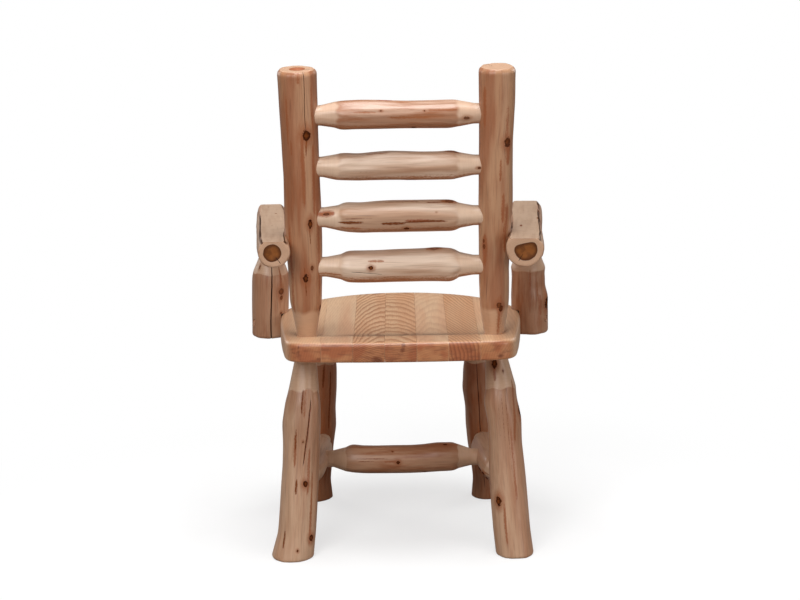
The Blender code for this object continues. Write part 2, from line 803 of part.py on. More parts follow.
def leg(place, side_name, boards, chair):
    """One leg with a flat foot, and its mortise in the seat."""
    side = SIDES[side_name]
    foot = leg_point(place, side, 0)
    head = leg_point(place, side, SEAT_BOTTOM)
    direction = (head - foot).normalized()
    end = head + direction * LEG_TENON_DEPTH
    if place == "rear":
        radius, shares, cone_share = REAR_LEG_RADIUS, REAR_LEG_SHARES, REAR_LEG_CONE_SHARE
    else:
        radius, shares, cone_share = FRONT_LEG_RADIUS, FRONT_LEG_SHARES, FRONT_LEG_CONE_SHARE
    log = Log(foot, end, radius, shares[side_name], LEG_TURN_SHARES[side_name])
    lean_drop = LEG_TENON_RADIUS * math.hypot(direction.x, direction.y) / direction.z
    tenon = LEG_TENON_DEPTH + lean_drop + FIT
    rings = log.round_end(0, 1, LEG_FOOT_ROUND, 0, 1)
    last = log.length - tenon - LEG_CONE_LENGTH - LEG_SHOULDER
    rings += log.body_rings(LEG_FOOT_ROUND, last, 0, LEG_SHOULDER, 0, 1)
    far = log.tenon_rings(
        log.length, -1, LEG_TENON_RADIUS, tenon, LEG_CONE_LENGTH, radius * cone_share
    )
    rings += reversed(far)
    shape = bmesh.new()
    close_log(shape, rings)
    name = "%s_leg_%s" % (place, side_name)
    made = finished(name, shape, material(name, LEG_COLOUR, WOOD_ROUGHNESS), chair)
    depth = LEG_TENON_DEPTH + CUT_OVERRUN
    mortise = socket("cut_" + name, ((end, -direction),), LEG_TENON_RADIUS, depth, chair)
    cut_boards(boards, side, abs(head.x), LEG_TENON_RADIUS, mortise)
    return made


def stretcher(name, start_axis, end_axis, hosts, radius, shares, turn_share, chair):
    """A stretcher with both tenons and their mortises in the hosts."""
    direction = (end_axis - start_axis).normalized()
    start = start_axis + direction * STRETCHER_TENON_STOP
    end = end_axis - direction * STRETCHER_TENON_STOP
    log = Log(start, end, radius, shares, turn_share)
    shape = tenoned_log(
        log,
        STRETCHER_TENON_RADIUS,
        STRETCHER_TENON_LENGTH,
        STRETCHER_CONE_LENGTH,
        radius * STRETCHER_CONE_SHARE,
        STRETCHER_SHOULDER,
    )
    made = finished(name, shape, material(name, STRETCHER_COLOUR, WOOD_ROUGHNESS), chair)
    mouths = ((start, direction), (end, -direction))
    depth = STRETCHER_TENON_LENGTH
    sockets = socket("cut_" + name, mouths, STRETCHER_TENON_RADIUS, depth, chair)
    for host in hosts:
        cut(host, sockets)
    return made


def base(boards, chair):
    """The four legs and the three stretchers."""
    sides = {}
    middles = {}
    for side_name, side in SIDES.items():
        legs = [leg(place, side_name, boards, chair) for place in ("rear", "front")]
        inset = Vector((-side * SIDE_STRETCHER_INSET, 0, 0))
        rear = leg_point("rear", side, STRETCHER_HEIGHT) + inset
        front = leg_point("front", side, STRETCHER_HEIGHT) + inset
        name = "side_stretcher_" + side_name
        shares = SIDE_STRETCHER_SHARES[side_name]
        turn_share = SIDE_STRETCHER_TURN_SHARES[side_name]
        sides[side_name] = stretcher(
            name, rear, front, legs, SIDE_STRETCHER_RADIUS, shares, turn_share, chair
        )
        middles[side_name] = (rear + front) / 2
    stretcher(
        "cross_stretcher",
        middles["left"],
        middles["right"],
        sides.values(),
        CROSS_STRETCHER_RADIUS,
        CROSS_STRETCHER_SHARES,
        CROSS_STRETCHER_TURN_SHARE,
        chair,
    )


def arm_log(side_name):
    """The log of one arm, from its rear end to its front end."""
    side = SIDES[side_name]
    rear = Vector((side * ARM_REAR_X, ARM_REAR_Y, ARM_TOP - ARM_FLAT))
    front = Vector((side * ARM_FRONT_X, ARM_FRONT_Y, ARM_TOP - ARM_FLAT + ARM_RISE))
    turn_share = ARM_TURN_SHARES[side_name]
    return Log(rear, front, ARM_RADIUS, ARM_SHARES[side_name], turn_share, ARM_SIDES, ARM_FLAT)


def arm(side_name, chair):
    """One flat-topped arm with a saddle for its back post."""
    log = arm_log(side_name)
    rings = log.round_end(0, 1, ARM_END_ROUND)
    rings += log.body_rings(ARM_END_ROUND, log.length - ARM_END_ROUND, 0, 0)
    rings += reversed(log.round_end(log.length, -1, ARM_END_ROUND))
    shape = bmesh.new()
    close_log(shape, rings)
    name = "arm_" + side_name
    made = finished(name, shape, material(name, ARM_COLOUR, WOOD_ROUGHNESS), chair)
    cut(made, finished("cut_saddle_" + side_name, post_shape(side_name, FIT), None, chair))
    return made


def arm_axis_at(side_name, y):
    """The point of an arm's axis at a place along the chair."""
    log = arm_log(side_name)
    return log.start + log.direction * ((y - log.start.y) / log.direction.y)


def support(side_name, arm_made, chair):
    """One arm support, notched over the seat's edge and tenoned into the arm."""
    side = SIDES[side_name]
    bottom = Vector((side * SUPPORT_X, SUPPORT_Y, SEAT_BOTTOM - SUPPORT_BOTTOM_DROP))
    top = Vector((side * (SUPPORT_X - SUPPORT_TOP_INSET), SUPPORT_Y, arm_axis_at(side_name, SUPPORT_Y).z))
    turn_share = SUPPORT_TURN_SHARES[side_name]
    log = Log(bottom, top, SUPPORT_RADIUS, SUPPORT_SHARES[side_name], turn_share)
    shoulder_height = SEAT_TOP + SUPPORT_SHOULDER_RISE
    cone_foot = (shoulder_height - bottom.z) / log.direction.z
    tenon = log.length - cone_foot - SUPPORT_CONE_LENGTH
    cone_radius = SUPPORT_RADIUS * SUPPORT_CONE_SHARE
    rings = log.round_end(0, 1, SUPPORT_END_ROUND, 0, 1)
    rings += log.body_rings(SUPPORT_END_ROUND, cone_foot - SUPPORT_SHOULDER, 0, SUPPORT_SHOULDER, 0, 1)
    far = log.tenon_rings(
        log.length, -1, SUPPORT_TENON_RADIUS, tenon, SUPPORT_CONE_LENGTH, cone_radius
    )
    rings += reversed(far)
    shape = bmesh.new()
    close_log(shape, rings)
    name = "arm_support_" + side_name
    made = finished(name, shape, material(name, SUPPORT_COLOUR, WOOD_ROUGHNESS), chair)
    mouths = ((top, -log.direction),)
    mortise = socket("cut_" + name, mouths, SUPPORT_TENON_RADIUS, ARM_RADIUS + CUT_OVERRUN, chair)
    cut(arm_made, mortise)
    return made


def seat_notch(chair):
    """A cutter in the seat's own outline, which notches the arm supports."""
    outline = seat_outline(FIT)
    top = SEAT_TOP + FIT
    bottom = SEAT_BOTTOM - SUPPORT_BOTTOM_DROP - CUT_OVERRUN
    middle = Vector((0, SEAT_REAR_Y + SEAT_DEPTH / 2, 0))
    up = Vector((0, 0, 1))
    rings = [[point + up * height for point in outline] for height in (bottom, top)]
    shape = bmesh.new()
    add_skin(shape, rings, middle + up * bottom, middle + up * top)
    return finished("cut_seat_notch", shape, None, chair)


def screw(name, mouth, inwards, length, hosts, chair):
    """A lag screw with a wood plug over its head, and the stepped hole for both."""
    shape = bmesh.new()
    head_start = PLUG_RECESS + PLUG_LENGTH + FIT
    head_end = head_start + SCREW_HEAD_HEIGHT
    tip = head_end + length
    stations = (
        (head_start, SCREW_HEAD_RADIUS - SMALL_CHAMFER),
        (head_start + SMALL_CHAMFER, SCREW_HEAD_RADIUS),
        (head_end, SCREW_HEAD_RADIUS),
        (head_end, SCREW_RADIUS),
        (tip - SCREW_TIP, SCREW_RADIUS),
        (tip, SCREW_RADIUS * SCREW_POINT_SHARE),
    )
    add_turned(shape, mouth, inwards, stations, SCREW_SIDES)
    finished("lag_screw_" + name, shape, material("screw_" + name, SCREW_COLOUR, STEEL_ROUGHNESS, 1), chair)
    shape = bmesh.new()
    stations = (
        (PLUG_RECESS, PLUG_RADIUS - SMALL_CHAMFER),
        (PLUG_RECESS + SMALL_CHAMFER, PLUG_RADIUS),
        (PLUG_RECESS + PLUG_LENGTH, PLUG_RADIUS),
    )
    add_turned(shape, mouth, inwards, stations, SCREW_SIDES)
    finished("plug_" + name, shape, material("plug_" + name, PLUG_COLOUR, WOOD_ROUGHNESS), chair)
    shape = bmesh.new()
    stations = (
        (-CUT_OVERRUN, PLUG_RADIUS + FIT),
        (head_end + FIT, PLUG_RADIUS + FIT),
        (head_end + FIT, SCREW_RADIUS + FIT),
        (tip + FIT, SCREW_RADIUS + FIT),
    )
    add_turned(shape, mouth, inwards, stations, SCREW_SIDES)
    hole = finished("cut_screw_" + name, shape, None, chair)
    for host in hosts:
        cut(host, hole)


def side_reach(radius, offset):
    """How far a round section reaches sideways at an offset from its middle."""
    return math.sqrt(radius * radius - offset * offset)


def arms(boards, posts, chair):
    """Arms, supports, screws and plugs on both sides."""
    notch = seat_notch(chair)
    for side_name, side in SIDES.items():
        arm_made = arm(side_name, chair)
        support_made = support(side_name, arm_made, chair)
        cut(support_made, notch)
        inwards = Vector((-side, 0, 0))
        board = boards[0] if side < 0 else boards[-1]
        reach = side_reach(SUPPORT_RADIUS, SUPPORT_SCREW_SPREAD)
        for place, spread in (("rear", -SUPPORT_SCREW_SPREAD), ("front", SUPPORT_SCREW_SPREAD)):
            height = SEAT_BOTTOM + SEAT_THICKNESS / 2
            mouth = Vector((side * (SUPPORT_X + reach), SUPPORT_Y + spread, height))
            name = "support_%s_%s" % (side_name, place)
            screw(name, mouth, inwards, SUPPORT_SCREW_LENGTH, (support_made, board), chair)
        height = ARM_TOP - ARM_FLAT - ARM_SCREW_DROP
        post_axis = post_point(side, height)
        arm_axis = arm_axis_at(side_name, post_axis.y)
        mouth = Vector((arm_axis.x + side * ARM_RADIUS, post_axis.y, height))
        screw("arm_" + side_name, mouth, inwards, ARM_SCREW_LENGTH, (arm_made, posts[side_name]), chair)


def cut_post_mortises(boards, chair):
    """The blind mortises of the back posts in the seat."""
    for side_name, side in SIDES.items():
        log = post_log(side_name)
        depth = POST_TENON_DEPTH + CUT_OVERRUN
        name = "cut_seat_post_" + side_name
        mortise = socket(name, ((log.start, log.direction),), POST_TENON_RADIUS, depth, chair)
        cut_boards(boards, side, POST_BASE_X, POST_TENON_RADIUS, mortise)


def centre_on_origin(chair):
    """Move the whole chair so that its box stands centred over the origin."""
    corners = []
    for made in chair.children:
        if not made.hide_render:
            corners += [vertex.co for vertex in made.data.vertices]
    middle_x = (min(corner.x for corner in corners) + max(corner.x for corner in corners)) / 2
    middle_y = (min(corner.y for corner in corners) + max(corner.y for corner in corners)) / 2
    chair.location = (-middle_x, -middle_y, 0)


def build():
    """Clear the scene and build the chair."""
    for old in list(bpy.data.objects):
        bpy.data.objects.remove(old, do_unlink=True)
    chair = bpy.data.objects.new("log_armchair", None)
    bpy.context.scene.collection.objects.link(chair)
    boards = seat_boards(chair)
    posts = back(chair)
    cut_post_mortises(boards, chair)
    base(boards, chair)
    arms(boards, posts, chair)
    centre_on_origin(chair)


build()
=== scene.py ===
# Looks of a log armchair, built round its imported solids. Each log is skinned anew: its girth is
# read from the solid along a straight axis, smoothed, and given a natural surface with knots,
# drying cracks and machined cones. Lengths are in metres; a name that ends in share or shares
# is a plain ratio.

import math

import bmesh
import bpy
import numpy as np
from mathutils import Matrix, Vector
from mathutils.bvhtree import BVHTree
from mathutils.kdtree import KDTree


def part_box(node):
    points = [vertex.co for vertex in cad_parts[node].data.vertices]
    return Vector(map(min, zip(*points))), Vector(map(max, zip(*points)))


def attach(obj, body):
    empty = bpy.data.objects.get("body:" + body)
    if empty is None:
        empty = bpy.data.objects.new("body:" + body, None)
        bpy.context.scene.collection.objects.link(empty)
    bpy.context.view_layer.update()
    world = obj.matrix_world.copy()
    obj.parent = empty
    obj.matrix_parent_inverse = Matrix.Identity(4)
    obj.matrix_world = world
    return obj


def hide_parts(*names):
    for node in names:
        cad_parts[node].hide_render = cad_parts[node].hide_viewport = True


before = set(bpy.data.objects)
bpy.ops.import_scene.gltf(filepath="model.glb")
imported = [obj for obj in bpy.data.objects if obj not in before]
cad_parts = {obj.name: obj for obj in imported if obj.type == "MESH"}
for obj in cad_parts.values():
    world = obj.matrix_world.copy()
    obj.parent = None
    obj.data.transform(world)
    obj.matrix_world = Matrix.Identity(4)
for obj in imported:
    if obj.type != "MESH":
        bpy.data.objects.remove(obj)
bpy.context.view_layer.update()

BODY = "root"

# Camera, as fitted to the photograph
IMAGE_WIDTH = 800
FOCAL_PIXELS = 1862
SENSOR_WIDTH = 36
CAMERA_PLACE = (0.0015, -3.9002, 1.33)
CAMERA_DROP = math.radians(11.94)
CAMERA_ROLL = math.radians(-0.8)

# How a log's girth is read from its solid
READ_STEP = 0.005
READ_COLUMNS = 96
READ_REACH = 0.12
READ_MARGIN = 0.0008
READ_BLUR = 0.006
KEPT_WAVES = 6
FLAT_WAVES = 3
AXIS_SHARES = (0.2, 0.8)
AXIS_ROUNDS = 3
CIRCLE_ROUNDS = 6
HOLE_DEPTH = 0.002
HOLE_WIDTH = 0.024
LEAST_ROWS = 4

# How finely a log is skinned
ROW_STEP = 0.0026
COLUMN_STEP = 0.0014
CAP_RINGS = 9
ROUND_STEPS = 6
GUIDE_SHARES = (-1.5, -0.75, 0, 0.75, 1.5)
GUIDE_CLEARANCE = 0.0009
GUIDE_SPREAD_SHARE = 0.035
FLAT_EDGE = 0.0009
FLAT_BLUR_ROWS = 6
PATH_POINTS = 200
LEAST_STEPS = 3

# Natural relief: how deep its waves are, how long along a log, how many fit round it, and how
# many are added up
EASE_LENGTH = 0.012
WAVES_ADDED = 10
FLUTE = 0.0007
FLUTE_LENGTH = 0.30
FLUTE_TURNS = (2, 6)
PEEL = 0.00025
PEEL_LENGTH = 0.10
PEEL_TURNS = (9, 17)
PEEL_WAVES_ADDED = 16
SCALLOP_TURNS = (2, 9)
RIM_TURNS = (1, 9)
RIM_WAVES_ADDED = 14
RIM_WANDER_SHARE = 0.22
FACE_DISH_SHARE = 0.05
CRACK_WANDER = 0.0007
CRACK_LENGTH = 0.09
CRACK_WAVES_ADDED = 4
MARK_SEEDS = 1000
CRACK_DEPTH_SHARE = 2.4
CRACK_TAPER_SHARE = 4
COVER_TAPER_SHARE = 3
COVER_TIP_SHARE = 0.01
NO_KNOT_SHARE = 9.0
KNOT_LIFT_SHARE = 0.20
KNOT_LIFT_REACH_SHARE = 1.8
KNOT_DIP_SHARE = 0.22
KNOT_DIP_REACH_SHARE = 0.6
KNOT_BEND_SHARE = 1.5
KNOT_POWER = 1.7

# Colours as seen, from 0 to 1, and the curve that turns them into light
SEEN_OFFSET = 0.055
SEEN_POWER = 2.4
POST_PALE = (0.79, 0.62, 0.48)
POST_ROSY = (0.67, 0.46, 0.33)
POST_ORANGE = (0.61, 0.34, 0.18)
POST_BROWN = (0.44, 0.26, 0.16)
POST_END = (0.74, 0.47, 0.35)
# The slats' pale, which shows on their tops, is partly painted highlight: raised for the sheen there.
SLAT_PALE_AND_SHEEN = (0.88, 0.78, 0.69)
SLAT_ROSY = (0.77, 0.62, 0.51)
SLAT_ORANGE = (0.62, 0.36, 0.19)
SLAT_BROWN = (0.55, 0.36, 0.25)
LEG_PALE = (0.82, 0.68, 0.56)
LEG_ROSY = (0.75, 0.58, 0.46)
LEG_ORANGE = (0.60, 0.34, 0.18)
LEG_BROWN = (0.46, 0.30, 0.20)
MACHINED_PALE = (0.85, 0.71, 0.59)
FLAT_PALE = (0.76, 0.64, 0.54)
FLAT_TAN = (0.66, 0.52, 0.41)
END_PALE = (0.83, 0.68, 0.57)
END_TAN = (0.68, 0.50, 0.37)
HEART_DARK = (0.26, 0.12, 0.05)
HEART_BROWN = (0.60, 0.36, 0.17)
PLUG_PALE = (0.66, 0.50, 0.38)
STEEL_DARK = (0.62, 0.62, 0.61)
STEEL_PALE = (0.78, 0.78, 0.77)
DARK_VEIN = (0.25, 0.12, 0.06)
SEAT_PALE = (0.88, 0.74, 0.60)
SEAT_ROSY = (0.84, 0.66, 0.52)
SEAT_WARM = (0.83, 0.62, 0.43)
SEAT_LATE = (0.68, 0.46, 0.31)
SEAT_END = (0.75, 0.50, 0.32)
SEAT_END_WARM = (0.66, 0.36, 0.20)
SEAT_END_DARK = (0.44, 0.21, 0.10)
STAIN = (0.58, 0.31, 0.21)
STREAK_DARK = (0.46, 0.24, 0.12)
KNOT_DARK = (0.21, 0.09, 0.05)
KNOT_BROWN = (0.46, 0.24, 0.11)
BARK_DARK = (0.25, 0.15, 0.10)
CRACK_DARK = (0.10, 0.05, 0.03)

# The tones of a log's wood: pale, rosy, orange and brown
POST_TONES = (POST_PALE, POST_ROSY, POST_ORANGE, POST_BROWN)
SLAT_TONES = (SLAT_PALE_AND_SHEEN, SLAT_ROSY, SLAT_ORANGE, SLAT_BROWN)
LEG_TONES = (LEG_PALE, LEG_ROSY, LEG_ORANGE, LEG_BROWN)

# The finish's patterns: how far each is drawn out along X, Y and Z, how often it comes back in a
# metre, how many octaves it has, and how rough it is
PATTERNS = {
    "patch": ((1, 1, 0.12), 26, 2, 0.5),
    "blotch": ((1, 1, 0.28), 26, 4, 0.6),
    "streak": ((1, 1, 0.12), 95, 4, 0.6),
    "fibre": ((1, 1, 0.035), 480, 3, 0.5),
    "vein": ((1, 1, 0.035), 210, 2, 0.5),
    "turned": ((0.02, 0.02, 1), 1400, 1, 0.5),
    "ragged": ((1, 1, 0.5), 420, 3, 0.65),
    "chatter": ((0.3, 0.3, 1), 120, 2, 0.5),
    "bark": ((1, 1, 0.12), 60, 3, 0.5),
    "wobble": ((1, 1, 0), 60, 2, 0.5),
    "fine": ((1, 1, 0), 700, 2, 0.5),
    "seat patch": ((1, 0.10, 1), 24, 2, 0.5),
    "seat wander": ((1, 0.25, 1), 38, 3, 0.5),
    "seat fibre": ((1, 0.025, 1), 620, 3, 0.5),
    "seat pores": ((0.25, 1, 1), 160, 3, 0.5),
    "plug": ((1, 1, 0.08), 900, 3, 0.5),
    "steel": ((0.1, 1, 1), 1500, 2, 0.5),
}

# Where each tone begins in its pattern, where it is full, and how strong it grows
ROSY_SHARES = (0.42, 0.58)
WARM_SHARES = (0.46, 0.70, 0.42)
RICH_SHARES = (0.46, 0.74, 0.60)
FIBRE_SHARES = (0.46, 0.80, 0.38)
VEIN_SHARES = (0.69, 0.76, 0.40)
MACHINED_RICH_SHARES = (0.5, 0.8, 0.5)
TURNED_SHARES = (0.45, 0.70, 0.12)
COVER_SHARES = (0.12, 0.75)
KNOT_HALO_SHARES = (3.2, 0.9, 0.8)
KNOT_CORE_SHARES = (1.2, 0.9)
KNOT_TONE_SHARES = (0.15, 0.85, 0.9)
FLAT_STREAK_SHARES = (0.42, 0.70, 0.60)
FLAT_VEIN_SHARES = (0.66, 0.76, 0.30)
FLAT_STAIN_SHARES = (0.1, 0.6)
CHATTER_SHARES = (0.50, 0.70, 0.45)
BARK_SHARES = (0.42, 0.53, 0.95)
CRACK_SHARES = (0.15, 0.60)
RING_SHARES = (-0.2, 0.9, 0.6)
FINE_SHARES = (0.5, 0.8, 0.4)
HEART_RING_SHARES = (-0.6, 0.8, 0.4)
HEART_PATCH_SHARES = (0.45, 0.65, 0.40)
LATE_RISE_SHARES = (0.30, 0.86)
LATE_FALL_SHARES = (1.0, 0.93)
SEAT_ROSY_SHARES = (0.35, 0.65)
SEAT_FIBRE_SHARES = (0.42, 0.80, 0.35)
SEAT_END_WARM_SHARES = (0.40, 0.60)
SEAT_PORE_SHARES = (0.45, 0.75, 0.60)
SEAT_HALO_SHARES = (2.4, 1.0, 0.7)
SEAT_CORE_SHARES = (1.1, 0.7, 0.9)
PLUG_STREAK_SHARES = (0.35, 0.70, 0.80)
STEEL_SHARES = (0, 1, 0.5)

# How strong the finish's other tones are
MACHINED_SHARE = 0.50
MACHINED_TINT_SHARE = 0.14
TINT_SHARE = 0.36
LIP_HIGHLIGHT_SHARE = 0.55
FIBRE_JITTER_SHARE = 0.9
RAGGED_JITTER_SHARE = 1.2
JITTER_RISE_SHARE = 0.3
GLOW_AND_SHADE_SHARE = 0.90
STAIN_SHARE = 0.85
STREAK_SHARE = 0.95
KNOT_EDGE_SHARE = 1.5
FLAT_KNOT_SHARE = 0.9
HEART_RIM_SHARE = 0.8
SEAT_TINT_SHARE = 0.8
SEAT_LATE_SHARE = 0.9
SEAT_END_LATE_SHARE = 0.55
SEAT_END_SHARE = 0.92
SEAT_KNOT_EDGE_SHARE = 0.8
FIBRE_WANDER_SHARE = 1 / 7
FIBRE_RELIEF_SHARE = 0.5
END_RELIEF_SHARE = 0.5
SEAT_RELIEF_SHARE = 0.35
PLUG_RELIEF_SHARE = 0.4

# The finish's sizes, roughness and shine
CREASE_SOFTNESS = 0.0007
POST_SOFTNESS = 0.012
SLAT_SOFTNESS = 0.009
LIP_HIGHLIGHT_WIDTH = 0.0030
BARK_EDGE = 0.0110
YEAR_RING = 0.0022
HEART_EDGE = 0.0006
HEART_RIM = 0.009
HEART_CORNER = 0.012
HEART_TILT_SHARE = 0.22
CHECK_REACH = 0.026
CHECK_FADE = 0.002
CHECK_EDGE = 0.0008
CHECK_CORE = 0.0003
CHECK_WANDER = 0.0012
CHECK_START = (0.010, 0.014)
RING_WOBBLE = 0.003
FIBRE_RELIEF = 0.0005
LOG_ROUGHNESS = 0.38
LOG_PATCH_ROUGHNESS = 0.22
END_ROUGHNESS = 0.62
END_COAT = 0.1
FLOOR_ROUGHNESS = 0.9
FLOOR_REACH = 30
FLOOR_FADE = 0.55
FLOOR_GLOW_SHARE = 0.65
FLOOR_WHITE = (1, 1, 1)
FLOOR_GREY = (0.56, 0.52, 0.49)
SHINE = 0.42
COAT = 0.45
COAT_ROUGHNESS = 0.32
COLOUR_SOCKETS = (6, 7)
COLOUR_RESULT = 2

# Light: each lamp's place, the point it is aimed at, its power in watts and its size
LAMPS = {
    "key": ((-1.1, -2.6, 2.1), (0, 0, 0.5), 46, 1.7),
    "fill": ((2.3, -2.2, 1.2), (0, 0, 0.45), 20, 1.6),
    "top": ((0.1, -0.7, 4.2), (0, 0, 0.5), 122, 2.0),
    "front right": ((2.5, 2.0, 1.9), (0, 0, 0.5), 18, 1.6),
    "front left": ((-2.5, 2.2, 1.7), (0, 0, 0.5), 20, 1.6),
}
WORLD_LIGHT = 0.12

# Seat
SEAT_BOARDS = tuple("seat_board_%d" % number for number in range(1, 8))
SEAT_COLUMNS = 192
SEAT_RINGS = 44
SEAT_FINE_COLUMNS = 420
SEAT_FINE_RINGS = 64
SEAT_WAVES = 30
SEAT_BLUR_ROWS = 1.2
SEAT_EDGE_SHARE = 0.3
SEAT_TOP_ROUND = 0.009
SEAT_BOTTOM_ROUND = 0.005
SCOOP_LIMIT = 0.016
BOARD_WIDTH_SHARE = 0.126
SEAT_RING = 0.0036
SEAT_WANDER = 0.0045
SEAT_ROUGHNESS = 0.34
SEAT_PATCH_ROUGHNESS = 0.20
END_START_SHARE = 0.35
END_SPAN_SHARE = 0.5
SHARP_ANGLE = math.radians(40)

# Plugs and their holes
ROD_SIDES = 48
PLUG_ROUND = 0.0007
HOLE_OVERRUN = 0.02
FIT = 0.0003

# The values that a log's mesh keeps for its finish
# A glow is an orange patch: real on most logs, painted shade on the slats' undersides.
COVER_NAMES = ("stain", "streak", "glow", "crack")
FIELD_NAMES = ("grain", "bark", "knot", "deep", "flat", "spot", "heart", "tint") + COVER_NAMES

FULL_TURN = 2 * math.pi
ROUND_ANGLES = np.arange(1, ROUND_STEPS + 1) / ROUND_STEPS * math.pi / 2
REAR = Vector((0, -1, 0))
FORWARDS = Vector((0, 1, 0))
RIGHT = Vector((1, 0, 0))
UP = Vector((0, 0, 1))


def ease(share):
    """Smooth step from 0 to 1."""
    share = np.clip(share, 0, 1)
    return share * share * (3 - 2 * share)


def circle(count):
    """Equal steps round a full turn."""
    return np.arange(count) * FULL_TURN / count


def outwards(turn):
    """The level way out from an axis at a turn."""
    return Vector((math.cos(turn), math.sin(turn), 0))


def ripple(turn, along, seed, turns, length, count=WAVES_ADDED):
    """Seamless noise over a log, about -1 to 1: waves round it and along it."""
    dice = np.random.default_rng(seed)
    total = np.zeros(np.broadcast(turn, along).shape)
    for _ in range(count):
        around = dice.integers(turns[0], turns[1] + 1)
        pace = FULL_TURN / length * dice.uniform(-1, 1)
        total += np.sin(around * turn + pace * along + dice.uniform(0, FULL_TURN))
    return total / math.sqrt(count)


def slow_waves(rows, count):
    """Rows round a log with only their slowest waves."""
    waves = np.fft.rfft(rows, axis=1)
    waves[:, count + 1 :] = 0
    return np.fft.irfft(waves, rows.shape[1], axis=1)


def slid(rows, reach, pick):
    """The largest or smallest value within some rows of each row, without the outer rows."""
    return pick([rows[step : len(rows) - 2 * reach + step] for step in range(2 * reach + 1)], axis=0)


def closed(rows, reach):
    """Rows with every dip shorter than twice the reach filled."""
    wide = np.pad(rows, ((2 * reach, 2 * reach), (0, 0)), mode="edge")
    return slid(slid(wide, reach, np.max), reach, np.min)


def blurred(rows, spread):
    """Rows blurred along the log; the first and last rows stay."""
    reach = max(math.ceil(spread * 3), 1)
    weights = np.exp(-0.5 * (np.arange(-reach, reach + 1) / spread) ** 2)
    weights /= weights.sum()
    wide = np.pad(rows, ((reach, reach), (0, 0)), mode="reflect", reflect_type="odd")
    return sum(weight * wide[step : step + len(rows)] for step, weight in enumerate(weights))


def between(rows, shares):
    """Rows at some shares of the way from the first row to the last."""
    place = shares * (len(rows) - 1)
    lower = np.minimum(place.astype(int), len(rows) - 2)
    part = (place - lower)[:, None]
    return rows[lower] * (1 - part) + rows[lower + 1] * part


def corners(mesh):
    """The places of a mesh's vertices."""
    return np.array([vertex.co for vertex in mesh.vertices])


def fitted_circle(points):
    """Centre and radius of the circle that most of the outer points lie on."""
    kept = np.ones(len(points), bool)
    for _ in range(CIRCLE_ROUNDS):
        some = points[kept]
        table = np.column_stack((2 * some, np.ones(len(some))))
        x, y, rest = np.linalg.lstsq(table, (some**2).sum(1), rcond=None)[0]
        radius = math.sqrt(rest + x * x + y * y)
        kept = np.hypot(points[:, 0] - x, points[:, 1] - y) > radius - HOLE_DEPTH
    return x, y, radius


def wave_table(turns, count):
    """Values of the slowest waves at some turns, one column each."""
    waves = [np.ones_like(turns)]
    for number in range(1, count + 1):
        waves += [np.cos(number * turns), np.sin(number * turns)]
    return np.column_stack(waves)


class Solid:
    """A CAD node, seen from outside towards a straight axis. Local Z runs along the axis."""

    def __init__(self, name, along):
        self.name = name
        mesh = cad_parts[name].data
        self.points = corners(mesh)
        faces = [tuple(face.vertices) for face in mesh.polygons]
        self.tree = BVHTree.FromPolygons([Vector(point) for point in self.points], faces)
        self.turns = circle(READ_COLUMNS)
        self.zero = UP if along is FORWARDS else REAR
        centred = self.points - self.points.mean(0)
        direction = Vector(np.linalg.eigh(centred.T @ centred)[1][:, -1])
        if direction.dot(along) < 0:
            direction.negate()
        self.set_axis(Vector(self.points.mean(0)), direction)
        for _ in range(AXIS_ROUNDS):
            first, last = (self.section_centre(share) for share in AXIS_SHARES)
            self.set_axis((first + last) / 2, (last - first).normalized())

    def set_axis(self, middle, direction):
        """Place the local frame, with turn 0 towards the rear, or up on a log that runs forwards."""
        across = (self.zero - direction * self.zero.dot(direction)).normalized()
        axes = Matrix((across, direction.cross(across), direction)).transposed()
        self.matrix = Matrix.Translation(middle) @ axes.to_4x4()
        heights = (self.points - np.array(middle)) @ np.array(direction)
        self.low, self.high = heights.min(), heights.max()

    def cast(self, height, turn):
        """Distance from the axis to the outside at one place."""
        way = outwards(turn)
        start = self.matrix @ (way * READ_REACH + Vector((0, 0, height)))
        reach = self.tree.ray_cast(start, self.matrix.to_3x3() @ -way, READ_REACH)[3]
        return READ_REACH - reach if reach is not None else 0

    def section_centre(self, share):
        """The middle of the round section at a share of the length."""
        height = self.low + (self.high - self.low) * share
        reaches = np.array([self.cast(height, turn) for turn in self.turns])
        hits = np.column_stack((reaches * np.cos(self.turns), reaches * np.sin(self.turns)))
        x, y, _ = fitted_circle(hits)
        return self.matrix @ Vector((x, y, height))

    def level_height(self, turn, reach, end):
        """Local height of the level plane through one end, beside the axis."""
        rise = self.matrix[2]
        aside = reach * (rise[0] * np.cos(turn) + rise[1] * np.sin(turn))
        return (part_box(self.name)[end].z - rise[3] - aside) / rise[2]


